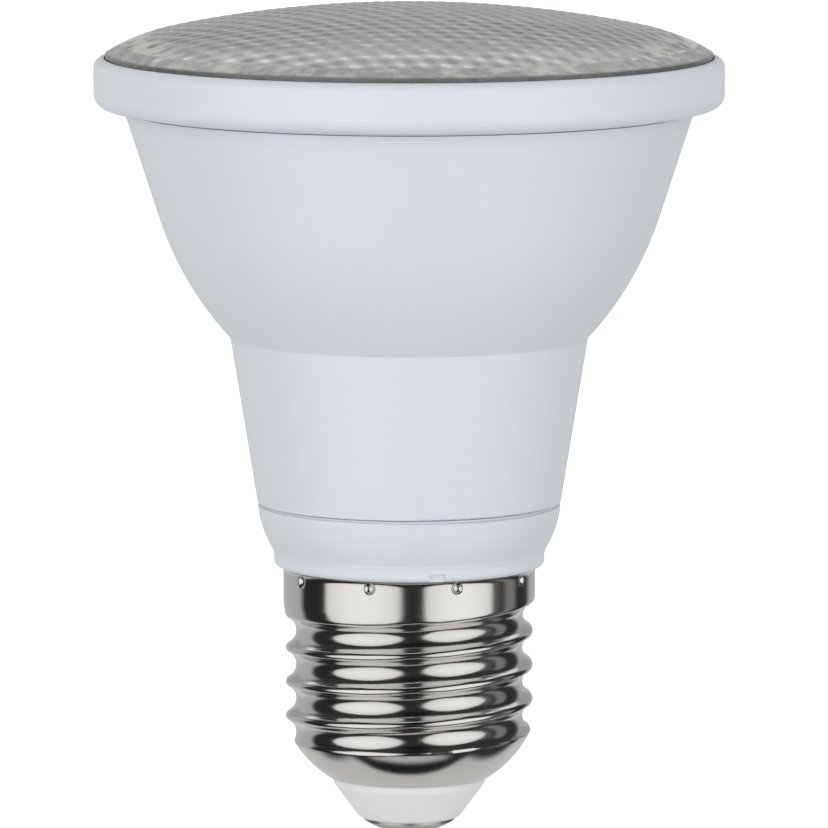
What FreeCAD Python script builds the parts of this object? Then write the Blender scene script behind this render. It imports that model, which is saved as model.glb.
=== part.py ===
"""PAR20 reflector lamp with an E27 screw cap, in millimetres.

The lamp's axis is Z. The origin is the lowest point of the centre contact, and the lens is at
the top. Every driving size is a named cell of the sheet, and each piece is bound to it.
"""
import FreeCAD, Part
import Sketcher
import math
import os
from types import SimpleNamespace

DOCUMENT_NAME = "ReflectorLamp"
SHEET_NAME = "Sizes"

CAP_SIZES = [
    ("contact_tip_radius", 2.0, "flat spot at the middle of the contact"),
    ("contact_radius", 4.8, "edge of the contact disc"),
    ("contact_dome_height", 1.2, "rise from the flat spot to the disc's edge"),
    ("contact_dome_radius", 9.0, "curve of the disc's underside"),
    ("contact_height", 1.5, "top of the contact disc"),
    ("rivet_radius", 1.5, "contact's stem through the insulator"),
    ("rivet_bore_radius", 0.9, "hole in the stem for the live lead"),
    ("rivet_bore_floor", 0.7, "metal left under that hole"),
    ("rivet_head_radius", 2.3, "flared head on the insulator's floor"),
    ("rivet_head_thickness", 0.4, "thickness of the flared head"),
    ("insulator_tip_radius", 4.85, "flat underside of the insulator"),
    ("insulator_corner_radius", 0.9, "round between underside and cone"),
    ("insulator_cone_angle", 36.3, "insulator cone, from the axis, in degrees"),
    ("insulator_shoulder_radius", 7.96, "where the bare cone ends"),
    ("insulator_top_height", 8.6, "top of the insulator inside the shell"),
    ("insulator_bowl_radius", 7.2, "mouth of the bowl in the insulator"),
    ("insulator_floor_height", 4.8, "floor of that bowl"),
    ("insulator_floor_radius", 5.5, "radius of the floor"),
    ("sheet_thickness", 0.3, "metal sheet of the shell"),
    ("shell_edge_radius", 8.57, "lower edge of the shell"),
    ("shell_edge_height", 5.92, "height of that edge"),
    ("shell_cone_angle", 58.0, "lower cone of the shell, from the axis, in degrees"),
    ("shell_cone_end_radius", 9.75, "where the cone starts to curve upright"),
    ("shell_curve_radius", 7.0, "curve from the cone to the thread"),
    ("shell_foot_height", 9.5, "where that curve meets the lowest root"),
    ("thread_crest_radius", 13.05, "thread over its crests"),
    ("thread_root_radius", 11.95, "thread in its roots"),
    ("thread_pitch", 3.629, "seven turns to the inch"),
    ("thread_crest_height", 13.25, "height of the lowest full crest, at the front"),
    ("thread_turns", 3, "full crests"),
    ("band_radius", 13.28, "plain band above the thread"),
    ("band_height", 25.3, "where the plain band starts"),
    ("shell_top_height", 28.25, "upper edge of the shell"),
    ("shell_lip_height", 0.5, "height of the flared upper edge"),
    ("shell_lip_flare", 0.17, "how far that edge stands out"),
    ("dimple_count", 9, "staking dimples round the band"),
    ("dimple_first_angle", -68.0, "place of one dimple round the axis, in degrees"),
    ("dimple_height", 27.4, "height of the dimples"),
    ("dimple_radius", 0.6, "radius of a dimple's mouth"),
    ("dimple_depth", 0.35, "depth of a dimple"),
]

COLLAR_SIZES = [
    ("fit_gap", 0.1, "clearance between pieces that sit in each other"),
    ("skirt_gap", 0.08, "clearance between the collar's skirt and the shell's band"),
    ("thread_skirt_gap", 0.15, "clearance between the lower skirt and the thread's roots"),
    ("collar_shell_gap", 0.15, "dark line between the shell and the collar"),
    ("skirt_bottom_height", 14.0, "lower end of the skirt inside the shell"),
    ("skirt_bore_radius", 10.3, "hole through the skirt"),
    ("skirt_step_height", 24.9, "where the skirt widens to the band"),
    ("skirt_chamfer", 0.6, "height of that step"),
    ("stake_groove_height", 26.4, "lower edge of the groove that takes the dimples"),
    ("stake_groove_depth", 0.6, "depth of the groove"),
    ("lip_round", 0.6, "round under the collar's lip"),
    ("lip_radius", 14.26, "upright band of the collar's lip"),
    ("lip_top_height", 29.65, "top of that band"),
    ("collar_waist_radius", 14.42, "start of the collar's swell"),
    ("collar_waist_height", 30.2, "height of that start"),
    ("collar_swell_radius", 10.8, "curve of the swell"),
    ("collar_top_radius", 15.95, "collar at the seam"),
    ("collar_top_height", 34.85, "seam's lower edge"),
    ("edge_round", 0.2, "small round on moulded edges"),
    ("spigot_top_height", 39.0, "top of the collar inside the neck"),
    ("spigot_bore_radius", 12.4, "hole through the upper collar"),
    ("spigot_bore_height", 31.5, "where that hole starts"),
    ("bore_taper_height", 2.0, "height of the taper between both holes"),
    ("lip_notch_angle", -78.0, "place of the moulding notch round the axis, in degrees"),
    ("lip_notch_span", 6.5, "width of the notch, in degrees"),
    ("lip_notch_height", 0.9, "height of the notch"),
    ("lip_notch_depth", 0.35, "depth of the notch"),
    ("board_notch_depth", 2.0, "slots in the rim that carry the driver board"),
]

BODY_SIZES = [
    ("seam_gap", 0.3, "groove between collar and neck"),
    ("seam_land_inset", 0.45, "depth of that groove"),
    ("neck_bottom_radius", 16.0, "neck at the seam"),
    ("neck_wall", 1.6, "wall of the neck, measured across"),
    ("bell_curve_drop", 12.73, "from the end of the bell's curve down to the crease at the neck"),
    ("crease_inner_rise", 1.05, "the inner crease lies this much higher"),
    ("bell_wall", 1.6, "wall of the bell"),
    ("bell_curve_radius", 34.65, "curve of the bell's lower part"),
    ("bell_straight_height", 65.28, "where the curve runs into the straight flare"),
    ("bell_flare_angle", 18.0, "straight flare, from the axis, in degrees"),
    ("bell_flare_rise", 11.12, "from the start of the straight flare up to the shoulder for the ring"),
    ("mouth_shoulder", 0.68, "width of that shoulder"),
    ("mouth_spigot_inset", 2.75, "from the ring's bore for the lens in to the spigot"),
    ("mouth_spigot_wall", 1.6, "wall of the spigot"),
    ("mouth_spigot_height", 3.0, "height of the spigot"),
    ("snap_bead_rise", 0.25, "bead that holds the ring"),
    ("snap_bead_height", 1.3, "middle of the bead above the shoulder"),
    ("snap_bead_land", 0.3, "flat top of the bead"),
    ("snap_bead_slope", 0.35, "height of each flank of the bead"),
    ("ring_wall", 1.1, "wall of the ring round the lens"),
    ("ring_under_inset", 1.37, "from the ring's side in to where the underside rounds up"),
    ("ring_under_rise", 0.3, "rise of the underside up to there"),
    ("ring_under_land", 0.7, "flat part of the underside"),
    ("ring_lower_round", 1.45, "round of the lower corner"),
    ("ring_lower_height", 1.65, "height of that round above the ring's bottom"),
    ("ring_upper_round", 1.0, "round of the upper corner"),
    ("ring_height", 5.5, "height of the ring"),
    ("ring_ledge_thickness", 0.9, "ledge under the lens"),
    ("ring_ledge_reach", 3.8, "from the rim of the lens in to the edge of the ledge"),
    ("lens_radius", 31.8, "rim of the lens"),
    ("lens_gap", 0.15, "gap round the rim of the lens"),
    ("gasket_thickness", 0.5, "gasket under the rim of the lens"),
    ("gasket_width", 3.5, "width of the gasket"),
    ("lens_rim_height", 1.52, "upright rim of the lens"),
    ("lens_dome_radius", 125.0, "curve of the dome"),
    ("lens_border_width", 5.8, "border where the dome turns down to the rim"),
    ("lens_border_curve", 18.0, "curve of that border"),
    ("lens_thickness", 2.2, "thickness of the dome"),
    ("lens_seat_width", 4.8, "from the rim in to the hollow under the dome"),
]

INNER_SIZES = [
    ("sink_gap", 0.15, "clearance between heat sink and bell"),
    ("sink_wall", 1.2, "skirt of the heat sink"),
    ("sink_top_drop", 4.4, "from the ring's shoulder down to the face that carries the light board"),
    ("sink_plate_thickness", 2.0, "plate of the heat sink"),
    ("sink_bottom_rise", 5.45, "from the crease up to the lower edge of the heat sink's skirt"),
    ("wire_hole_radius", 3.0, "hole for the leads through plate, pad and board"),
    ("pad_thickness", 0.5, "thermal pad"),
    ("pad_radius", 23.5, "edge of the thermal pad"),
    ("light_board_radius", 24.0, "edge of the light board"),
    ("light_board_thickness", 1.6, "light board"),
    ("screw_circle_radius", 14.0, "circle of the board's screws"),
    ("screw_count", 3, "screws on that circle"),
    ("screw_first_angle", 90.0, "place of one screw, in degrees"),
    ("screw_radius", 1.4, "shank of a screw"),
    ("screw_length", 6.0, "length under the head"),
    ("screw_head_radius", 2.75, "head of a screw"),
    ("screw_head_height", 2.0, "height of the head"),
    ("screw_head_rim", 0.9, "upright part of the head"),
    ("screw_slot_width", 0.7, "arms of the cross slot"),
    ("screw_slot_length", 3.0, "length of those arms"),
    ("screw_slot_depth", 1.0, "depth of the cross slot"),
    ("screw_hole_gap", 0.3, "room round a screw in board and pad"),
    ("package_length", 5.6, "light source, along the circle"),
    ("package_width", 3.0, "light source, towards the axis"),
    ("package_height", 0.9, "light source"),
    ("package_wall", 0.5, "white wall round its window"),
    ("package_floor", 0.3, "white floor under its window"),
    ("outer_circle_radius", 18.8, "outer circle of light sources"),
    ("outer_circle_count", 12, "light sources on the outer circle"),
    ("outer_circle_angle", 15.0, "place of one of them, in degrees"),
    ("inner_circle_radius", 9.3, "inner circle of light sources"),
    ("inner_circle_count", 6, "light sources on the inner circle"),
    ("inner_circle_angle", 0.0, "place of one of them, in degrees"),
    ("driver_thickness", 1.2, "driver board"),
    ("driver_bottom_height", 16.0, "lower end of the driver board"),
    ("driver_top_height", 60.0, "upper end of the driver board"),
    ("driver_tongue_gap", 0.3, "room beside the board in the skirt"),
    ("driver_shoulder_reach", 1.2, "how far the board rests on the collar's rim"),
    ("bulk_capacitor_radius", 4.0, "round capacitor"),
    ("bulk_capacitor_height", 10.0, "its height from the board"),
    ("bulk_capacitor_across", -6.5, "its place across the board"),
    ("bulk_capacitor_level", 47.0, "its place up the board"),
    ("small_capacitor_radius", 3.15, "smaller round capacitor"),
    ("small_capacitor_height", 8.0, "its height from the board"),
    ("small_capacitor_across", 8.0, "its place across the board"),
    ("small_capacitor_level", 54.2, "its place up the board"),
    ("can_round", 0.5, "round of a capacitor's edges"),
    ("can_bead_height", 1.6, "middle of the rolled bead above the board"),
    ("can_bead_depth", 0.3, "depth of the rolled bead"),
    ("choke_flange_radius", 4.0, "flanges of the choke's core"),
    ("choke_neck_radius", 2.0, "middle of the choke's core"),
    ("choke_height", 9.0, "height of the choke"),
    ("choke_flange_thickness", 1.5, "each flange"),
    ("choke_across", 6.0, "its place across the board"),
    ("choke_level", 44.5, "its place up the board"),
    ("winding_radius", 3.5, "wire wound on the choke's core"),
    ("box_capacitor_length", 8.0, "box capacitor across the board"),
    ("box_capacitor_depth", 4.5, "its height from the board"),
    ("box_capacitor_rise", 9.0, "its length up the board"),
    ("box_capacitor_level", 24.0, "its lower end"),
    ("bridge_length", 4.7, "rectifier across the board"),
    ("bridge_depth", 2.5, "its height from the board"),
    ("bridge_rise", 3.9, "its length up the board"),
    ("bridge_level", 31.0, "its lower end"),
    ("chip_length", 4.9, "driver chip across the board"),
    ("chip_depth", 1.5, "its height from the board"),
    ("chip_rise", 3.9, "its length up the board"),
    ("chip_level", 44.0, "its lower end"),
    ("resistor_radius", 1.5, "end caps of the fusible resistor"),
    ("resistor_waist_radius", 1.25, "its middle"),
    ("resistor_length", 8.0, "its length"),
    ("resistor_cap_length", 1.6, "each end cap"),
    ("resistor_level", 26.5, "its place up the board"),
    ("lead_radius", 0.6, "insulated leads"),
    ("lead_bend", 1.5, "bend of a lead"),
    ("lead_spread", 1.3, "leads beside the axis in the wire hole"),
    ("lead_board_across", 4.0, "where a lead lies on the driver board"),
    ("lead_board_overlap", 4.0, "length of a lead that lies on the driver board"),
    ("lead_clear_rise", 2.0, "straight rise of a lead past the driver board"),
    ("lead_gather_rise", 6.0, "where the leads run together, above the driver board"),
    ("lead_loop_rise", 2.0, "loop of a lead above the light board"),
    ("lead_pad_radius", 5.2, "where a lead is soldered to the light board"),
    ("solder_gap", 0.05, "solder film at the end of a lead"),
    ("live_board_level", 22.0, "where the live lead leaves the driver board"),
    ("live_drop_height", 13.0, "where it turns to the axis"),
    ("live_axis_height", 9.5, "where it reaches the axis"),
    ("live_end_height", 1.2, "its end in the contact's stem"),
    ("neutral_across", 6.0, "where the neutral lead leaves the driver board"),
    ("neutral_drop_height", 12.4, "where it turns to the shell"),
    ("neutral_end_height", 10.2, "its end at the shell"),
    ("neutral_end_gap", 0.5, "from that end to the thread's inner face"),
]


class Size:
    """A length or an angle: its number, and the sheet expression that gives it."""

    def __init__(self, number, words):
        self.number = float(number)
        self.words = words

    @staticmethod
    def of(value):
        return value if isinstance(value, Size) else Size(value, repr(value))

    def joined(self, sign, other, number):
        return Size(number, f"({self.words} {sign} {other.words})")

    def __add__(self, other):
        other = Size.of(other)
        return self.joined("+", other, self.number + other.number)

    def __sub__(self, other):
        other = Size.of(other)
        return self.joined("-", other, self.number - other.number)

    def __mul__(self, other):
        other = Size.of(other)
        return self.joined("*", other, self.number * other.number)

    def __truediv__(self, other):
        other = Size.of(other)
        return self.joined("/", other, self.number / other.number)

    def __radd__(self, other):
        return Size.of(other) + self

    def __rsub__(self, other):
        return Size.of(other) - self

    def __rmul__(self, other):
        return Size.of(other) * self

    def __neg__(self):
        return Size(-self.number, f"(-1 * {self.words})")


def sine(angle):
    return Size(math.sin(math.radians(angle.number)), f"sin({angle.words})")


def cosine(angle):
    return Size(math.cos(math.radians(angle.number)), f"cos({angle.words})")


def tangent(angle):
    return Size(math.tan(math.radians(angle.number)), f"tan({angle.words})")


def square_root(value):
    return Size(math.sqrt(value.number), f"sqrt({value.words})")


def other_leg(hypotenuse, leg):
    """Third side of a right-angled triangle."""
    return square_root(hypotenuse * hypotenuse - leg * leg)


def fill_sheet(document):
    """Put every driving size in the sheet, and give it back under its own name."""
    sheet = document.addObject("Spreadsheet::Sheet", SHEET_NAME)
    rows = CAP_SIZES + COLLAR_SIZES + BODY_SIZES + INNER_SIZES
    for row, (alias, value, meaning) in enumerate(rows, start=1):
        sheet.set(f"A{row}", meaning)
        sheet.set(f"B{row}", str(value))
        sheet.setAlias(f"B{row}", alias)
    document.recompute()
    return SimpleNamespace(**{
        alias: Size(getattr(sheet, alias), f"{SHEET_NAME}.{alias}") for alias, _, _ in rows
    })


doc = FreeCAD.newDocument(DOCUMENT_NAME)
size = fill_sheet(doc)


# Sketches and features

def new_body(label):
    body = doc.addObject("PartDesign::Body", label)
    body.Label = label
    return body


def origin_plane(body, role):
    return next(item for item in body.Origin.OriginFeatures if item.Role == role)


def origin_axis(body, role):
    return (origin_plane(body, role), [""])


def new_sketch(body, name, role, height=None):
    """A sketch on one of the body's own planes, raised by height where one is given."""
    sketch = body.newObject("Sketcher::SketchObject", name)
    sketch.AttachmentSupport = (origin_plane(body, role), [""])
    sketch.MapMode = "FlatFace"
    if height is not None:
        sketch.AttachmentOffset = FreeCAD.Placement(
            FreeCAD.Vector(0, 0, height.number), FreeCAD.Rotation())
        sketch.setExpression("AttachmentOffset.Base.z", height.words)
    return sketch


def turn_sketch(sketch, angle):
    """Turn an upright sketch about the lamp's axis."""
    turn = FreeCAD.Rotation(FreeCAD.Vector(0, 1, 0), angle.number)
    sketch.AttachmentOffset = FreeCAD.Placement(FreeCAD.Vector(), turn)
    sketch.setExpression("AttachmentOffset.Rotation.Angle", angle.words)


def bind(sketch, constraint, value):
    index = sketch.addConstraint(constraint)
    sketch.setExpression(f"Constraints[{index}]", value.words)


def place_point(sketch, edge, end, across, up):
    """Fix one end of an edge, on an axis where its distance is nothing."""
    if across is None:
        sketch.addConstraint(Sketcher.Constraint("PointOnObject", edge, end, -2))
    else:
        bind(sketch, Sketcher.Constraint("DistanceX", -1, 1, edge, end, across.number), across)
    if up is None:
        sketch.addConstraint(Sketcher.Constraint("PointOnObject", edge, end, -1))
    else:
        bind(sketch, Sketcher.Constraint("DistanceY", -1, 1, edge, end, up.number), up)


def arc_between(start, end, bend):
    """Arc from start to end: bend is its radius, positive where it turns left."""
    radius = abs(bend.number)
    chord = end - start
    half = chord.Length / 2
    inward = FreeCAD.Vector(-chord.y, chord.x, 0).normalize()
    side = math.copysign(math.sqrt(radius * radius - half * half), bend.number)
    centre = (start + end) * 0.5 + inward * side
    first, last = (start, end) if bend.number > 0 else (end, start)
    angles = [math.atan2(p.y - centre.y, p.x - centre.x) for p in (first, last)]
    if angles[1] < angles[0]:
        angles[1] += 2 * math.pi
    circle = Part.Circle(centre, FreeCAD.Vector(0, 0, 1), radius)
    return Part.ArcOfCircle(circle, angles[0], angles[1])


def draw_outline(sketch, corners):
    """Closed outline. A corner is (across, up) or (across, up, bend of the edge that follows)."""
    points = [
        FreeCAD.Vector(across.number if across else 0, up.number if up else 0, 0)
        for across, up, *_ in corners
    ]
    starts = []
    ends = []
    edges = []
    for index, corner in enumerate(corners):
        start = points[index]
        end = points[(index + 1) % len(points)]
        bend = corner[2] if len(corner) > 2 else None
        shape = arc_between(start, end, bend) if bend else Part.LineSegment(start, end)
        turned = bend is not None and bend.number < 0
        edges.append(sketch.addGeometry(shape, False))
        starts.append(2 if turned else 1)
        ends.append(1 if turned else 2)
        if bend:
            radius = bend if bend.number > 0 else -bend
            bind(sketch, Sketcher.Constraint("Radius", edges[-1], radius.number), radius)
    for index, corner in enumerate(corners):
        before = index - 1
        sketch.addConstraint(Sketcher.Constraint(
            "Coincident", edges[before], ends[before], edges[index], starts[index]))
        place_point(sketch, edges[index], starts[index], corner[0], corner[1])


def draw_circle(sketch, radius, across=None, up=None):
    centre = FreeCAD.Vector(across.number if across else 0, up.number if up else 0, 0)
    edge = sketch.addGeometry(Part.Circle(centre, FreeCAD.Vector(0, 0, 1), radius.number), False)
    bind(sketch, Sketcher.Constraint("Radius", edge, radius.number), radius)
    place_point(sketch, edge, 3, across, up)


def draw_rectangle(sketch, low_across, low_up, high_across, high_up):
    draw_outline(sketch, [
        (low_across, low_up), (high_across, low_up), (high_across, high_up), (low_across, high_up)])


def revolve(body, name, corners):
    """Turn an outline in the XZ plane about the axis."""
    sketch = new_sketch(body, name + "_section", "XZ_Plane")
    draw_outline(sketch, corners)
    turn = body.newObject("PartDesign::Revolution", name + "_turned")
    turn.Profile = sketch
    turn.ReferenceAxis = (sketch, ["V_Axis"])
    turn.Angle = 360
    return turn


def turned_piece(label, corners):
    body = new_body(label)
    revolve(body, label, corners)
    return body


def pad(body, name, sketch, thickness, midplane=False):
    feature = body.newObject("PartDesign::Pad", name)
    feature.Profile = sketch
    feature.Length = thickness.number
    feature.setExpression("Length", thickness.words)
    feature.Midplane = midplane
    return feature


def pocket(body, name, sketch, depth):
    """Cut down from the sketch by depth, and make sure that it takes material away."""
    doc.recompute()
    before = body.Shape.Volume
    feature = body.newObject("PartDesign::Pocket", name)
    feature.Profile = sketch
    feature.Length = depth.number
    feature.setExpression("Length", depth.words)
    check_less(body, name, before)
    return feature


def check_less(body, name, before):
    doc.recompute()
    if not body.Shape.Volume < before:
        raise RuntimeError(f"{name} cuts nothing")


def repeat_round(body, name, features, count):
    """Repeat features round the axis."""
    pattern = body.newObject("PartDesign::PolarPattern", name)
    pattern.Originals = features
    pattern.Axis = origin_axis(body, "Z_Axis")
    pattern.Angle = 360
    pattern.Occurrences = round(count.number)
    pattern.setExpression("Occurrences", count.words)
    body.Tip = pattern
    return pattern


def block(label, low, lengths):
    """A plain box by its low corner and its three lengths."""
    box = doc.addObject("Part::Box", label)
    box.Label = label
    for axis, start in zip("xyz", low):
        box.setExpression(f"Placement.Base.{axis}", start.words)
    for side, length in zip(("Length", "Width", "Height"), lengths):
        box.setExpression(side, length.words)
    return box


# Cap: contact, insulator and threaded shell

def centre_contact():
    """Domed disc with a hollow stem, riveted over inside the insulator."""
    head_bottom = size.insulator_floor_height
    head_top = head_bottom + size.rivet_head_thickness
    return turned_piece("centre_contact", [
        (None, None),
        (size.contact_tip_radius, None, size.contact_dome_radius),
        (size.contact_radius, size.contact_dome_height),
        (size.contact_radius, size.contact_height),
        (size.rivet_radius, size.contact_height),
        (size.rivet_radius, head_bottom),
        (size.rivet_head_radius, head_bottom),
        (size.rivet_head_radius, head_top),
        (size.rivet_bore_radius, head_top),
        (size.rivet_bore_radius, size.rivet_bore_floor),
        (None, size.rivet_bore_floor),
    ])


def shell_cone_end_height():
    run = size.shell_cone_end_radius - size.shell_edge_radius
    return size.shell_edge_height + run / tangent(size.shell_cone_angle)


def cap_insulator():
    """Cup that closes the shell, seated on the inside of the shell's cone."""
    hole = size.rivet_radius + size.fit_gap
    rise = 90 - size.insulator_cone_angle
    corner_radius = size.insulator_tip_radius + size.insulator_corner_radius * sine(rise)
    corner_height = size.contact_height + size.insulator_corner_radius * (1 - cosine(rise))
    cone_run = size.insulator_shoulder_radius - corner_radius
    shoulder_height = corner_height + cone_run / tangent(size.insulator_cone_angle)
    inset = size.sheet_thickness + size.fit_gap
    across = inset * cosine(size.shell_cone_angle)
    up = inset * sine(size.shell_cone_angle)
    seat_radius = size.shell_cone_end_radius - across
    return turned_piece("cap_insulator", [
        (hole, size.contact_height),
        (size.insulator_tip_radius, size.contact_height, size.insulator_corner_radius),
        (corner_radius, corner_height),
        (size.insulator_shoulder_radius, shoulder_height),
        (size.shell_edge_radius - across, size.shell_edge_height + up),
        (seat_radius, shell_cone_end_height() + up),
        (seat_radius, size.insulator_top_height),
        (size.insulator_bowl_radius, size.insulator_top_height),
        (size.insulator_floor_radius, size.insulator_floor_height),
        (hole, size.insulator_floor_height),
    ])


def shell_foot_centre():
    """Centre of the curve above the shell's cone, in the section."""
    return (size.shell_cone_end_radius - size.shell_curve_radius * cosine(size.shell_cone_angle),
            shell_cone_end_height() + size.shell_curve_radius * sine(size.shell_cone_angle))


def shell_foot(depth):
    """Cone and curve below the thread, at a depth under the outer face."""
    across = depth * cosine(size.shell_cone_angle)
    up = depth * sine(size.shell_cone_angle)
    centre_across, centre_up = shell_foot_centre()
    reach = size.shell_curve_radius
    drop = centre_up - size.shell_foot_height
    share = (reach - depth) / reach
    return [
        (size.shell_edge_radius - across, size.shell_edge_height + up),
        (size.shell_cone_end_radius - across, shell_cone_end_height() + up, reach - depth),
        (centre_across + other_leg(reach, drop) * share, centre_up - drop * share),
    ]


def thread_arc():
    """Radius of the crest and root arcs, which meet in the middle of a flank."""
    half = size.thread_pitch / 2
    rise = size.thread_crest_radius - size.thread_root_radius
    return (half * half + rise * rise) / (4 * rise)


def thread_ridges(depth):
    """Roots and crests in turn, at a depth under the outer face, from the lowest root up."""
    arc = thread_arc()
    quarter = size.thread_pitch / 4
    middle = (size.thread_crest_radius + size.thread_root_radius) / 2
    across = depth * other_leg(arc, quarter) / arc
    up = depth * quarter / arc
    corners = []
    for ridge in range(round(size.thread_turns.number)):
        crest = size.thread_crest_height + size.thread_pitch * ridge
        root = crest - size.thread_pitch / 2
        corners.append((middle - across, root - quarter - up, -(arc + depth)))
        corners.append((middle - across, crest - quarter + up, arc - depth))
    last_root = crest + size.thread_pitch / 2
    corners.append((middle - across, last_root - quarter - up, -(arc + depth)))
    return corners


def shell_band(depth):
    """End of the last root, the rise to the plain band, and its flared upper edge."""
    arc = thread_arc()
    quarter = size.thread_pitch / 4
    middle = (size.thread_crest_radius + size.thread_root_radius) / 2
    last_root = size.thread_crest_height + size.thread_pitch * (size.thread_turns - 0.5)
    across = depth * other_leg(arc, quarter) / arc
    up = depth * quarter / arc
    start = last_root + quarter
    rise = size.band_radius - middle
    span = size.band_height - start
    bend = (rise * rise + span * span) / (2 * rise)
    lip_start = size.shell_top_height - size.shell_lip_height
    return [
        (middle - across, start + up, bend - depth),
        (size.band_radius - depth, size.band_height),
        (size.band_radius - depth, lip_start),
        (size.band_radius + size.shell_lip_flare - depth, size.shell_top_height),
    ]


def back_along(corners):
    """The same corners from the last to the first, each bend with its edge."""
    bends = [corner[2] if len(corner) > 2 else None for corner in corners]
    back = []
    for index in reversed(range(len(corners))):
        bend = bends[index - 1] if index else None
        corner = corners[index][:2]
        back.append((*corner, -bend) if bend else corner)
    return back


def shell_side(depth):
    return shell_foot(depth) + thread_ridges(depth) + shell_band(depth)


def dimple_outline(body, name, swell, side_radius):
    """Half of a ball in the band, on an axis of its own that points outwards."""
    mouth = size.dimple_radius
    sunk = size.dimple_depth
    ball = (mouth * mouth + sunk * sunk) / (2 * sunk)
    centre = size.band_radius - sunk + ball
    radius = ball + swell
    tip = centre - radius
    level = size.dimple_height
    sketch = new_sketch(body, name + "_section", "XZ_Plane")
    turn_sketch(sketch, size.dimple_first_angle)
    axis = sketch.addGeometry(Part.LineSegment(
        FreeCAD.Vector(tip.number, level.number, 0),
        FreeCAD.Vector(side_radius.number, level.number, 0)), True)
    place_point(sketch, axis, 1, tip, level)
    place_point(sketch, axis, 2, side_radius, level)
    draw_outline(sketch, [
        (tip, level),
        (side_radius, level),
        (side_radius, level + other_leg(radius, centre - side_radius), radius),
    ])
    return sketch


def turn_about_own_axis(body, kind, name, sketch):
    feature = body.newObject(kind, name)
    feature.Profile = sketch
    feature.ReferenceAxis = (sketch, ["Axis0"])
    feature.Angle = 360
    return feature


def screw_shell():
    """Rolled sheet with the thread's ridges, and the dimples that stake it to the collar."""
    sheet = size.sheet_thickness
    body = turned_piece("screw_shell", shell_side(Size.of(0)) + back_along(shell_side(sheet)))
    bump_outline = dimple_outline(body, "dimple_bump", sheet, size.band_radius - sheet / 2)
    bump = turn_about_own_axis(body, "PartDesign::Revolution", "dimple_bump", bump_outline)
    repeat_round(body, "dimple_bumps", [bump], size.dimple_count)
    doc.recompute()
    before = body.Shape.Volume
    dent_outline = dimple_outline(body, "dimple_dent", Size.of(0),
                                  size.band_radius + size.fit_gap)
    dent = turn_about_own_axis(body, "PartDesign::Groove", "dimple_dent", dent_outline)
    check_less(body, "dimple_dent", before)
    repeat_round(body, "dimple_dents", [dent], size.dimple_count)
    return body


# Collar, body and lens

def crease_height():
    return size.bell_straight_height - size.bell_curve_drop


def mouth_height():
    return size.bell_straight_height + size.bell_flare_rise


def lens_bore_radius():
    return size.lens_radius + size.lens_gap


def ring_radius():
    return lens_bore_radius() + size.ring_wall


def spigot_radius():
    return lens_bore_radius() - size.mouth_spigot_inset


def mouth_radius():
    return spigot_radius() + size.mouth_shoulder


def neck_slope():
    rise = crease_height() - neck_bottom_height()
    return (bell_curve_at(crease_height()) - size.neck_bottom_radius) / rise


def neck_bottom_height():
    return size.collar_top_height + size.seam_gap


def neck_at(height):
    """Outer radius of the neck at a height."""
    return size.neck_bottom_radius + neck_slope() * (height - neck_bottom_height())


def bell_start(inset=0):
    """Where the bell's curve meets its straight flare, on a face inset from the outer one."""
    drop = mouth_height() - size.bell_straight_height
    radius = mouth_radius() - drop * tangent(size.bell_flare_angle)
    across = inset * cosine(size.bell_flare_angle)
    up = inset * sine(size.bell_flare_angle)
    return radius - across, size.bell_straight_height + up


def bell_centre():
    """Centre of the bell's curve, in the section."""
    radius, height = bell_start()
    return (radius - size.bell_curve_radius * cosine(size.bell_flare_angle),
            height + size.bell_curve_radius * sine(size.bell_flare_angle))


def bell_curve_at(height, inset=0):
    """Radius of the bell's curved part at a height, on a face inset from the outer one."""
    across, up = bell_centre()
    return across + other_leg(size.bell_curve_radius - inset, height - up)


def bell_flare_at(height, inset):
    """Radius of the bell's straight flare at a height, on an inset face."""
    radius, start = bell_start(inset)
    return radius + (height - start) * tangent(size.bell_flare_angle)


def cap_collar():
    """Moulded holder between neck and shell, with the skirt that the shell is staked to."""
    skirt = size.band_radius - size.sheet_thickness - size.skirt_gap
    lower = size.thread_root_radius - size.sheet_thickness - size.thread_skirt_gap
    bottom = size.shell_top_height + size.collar_shell_gap
    groove = skirt - size.stake_groove_depth
    inset = size.neck_wall + size.fit_gap
    taper_bottom = size.spigot_bore_height - size.bore_taper_height
    groove_floor = size.stake_groove_height + size.edge_round
    land = size.neck_bottom_radius - size.seam_land_inset
    land_top = size.collar_top_height + size.seam_gap - size.fit_gap
    body = turned_piece("cap_collar", [
        (size.skirt_bore_radius, size.skirt_bottom_height),
        (lower, size.skirt_bottom_height),
        (lower, size.skirt_step_height),
        (skirt, size.skirt_step_height + size.skirt_chamfer),
        (skirt, size.stake_groove_height),
        (groove, groove_floor),
        (groove, bottom),
        (size.lip_radius - size.lip_round, bottom, size.lip_round),
        (size.lip_radius, bottom + size.lip_round),
        (size.lip_radius, size.lip_top_height),
        (size.collar_waist_radius, size.collar_waist_height, size.collar_swell_radius),
        (size.collar_top_radius, size.collar_top_height - size.edge_round, size.edge_round),
        (size.collar_top_radius - size.edge_round, size.collar_top_height),
        (land, size.collar_top_height),
        (land, land_top),
        (neck_at(land_top) - inset, land_top),
        (neck_at(size.spigot_top_height) - inset, size.spigot_top_height),
        (size.spigot_bore_radius, size.spigot_top_height),
        (size.spigot_bore_radius, size.spigot_bore_height),
        (size.skirt_bore_radius, taper_bottom),
    ])
    notch_lip(body, bottom)
    slot_rim(body)
    return body


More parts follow.
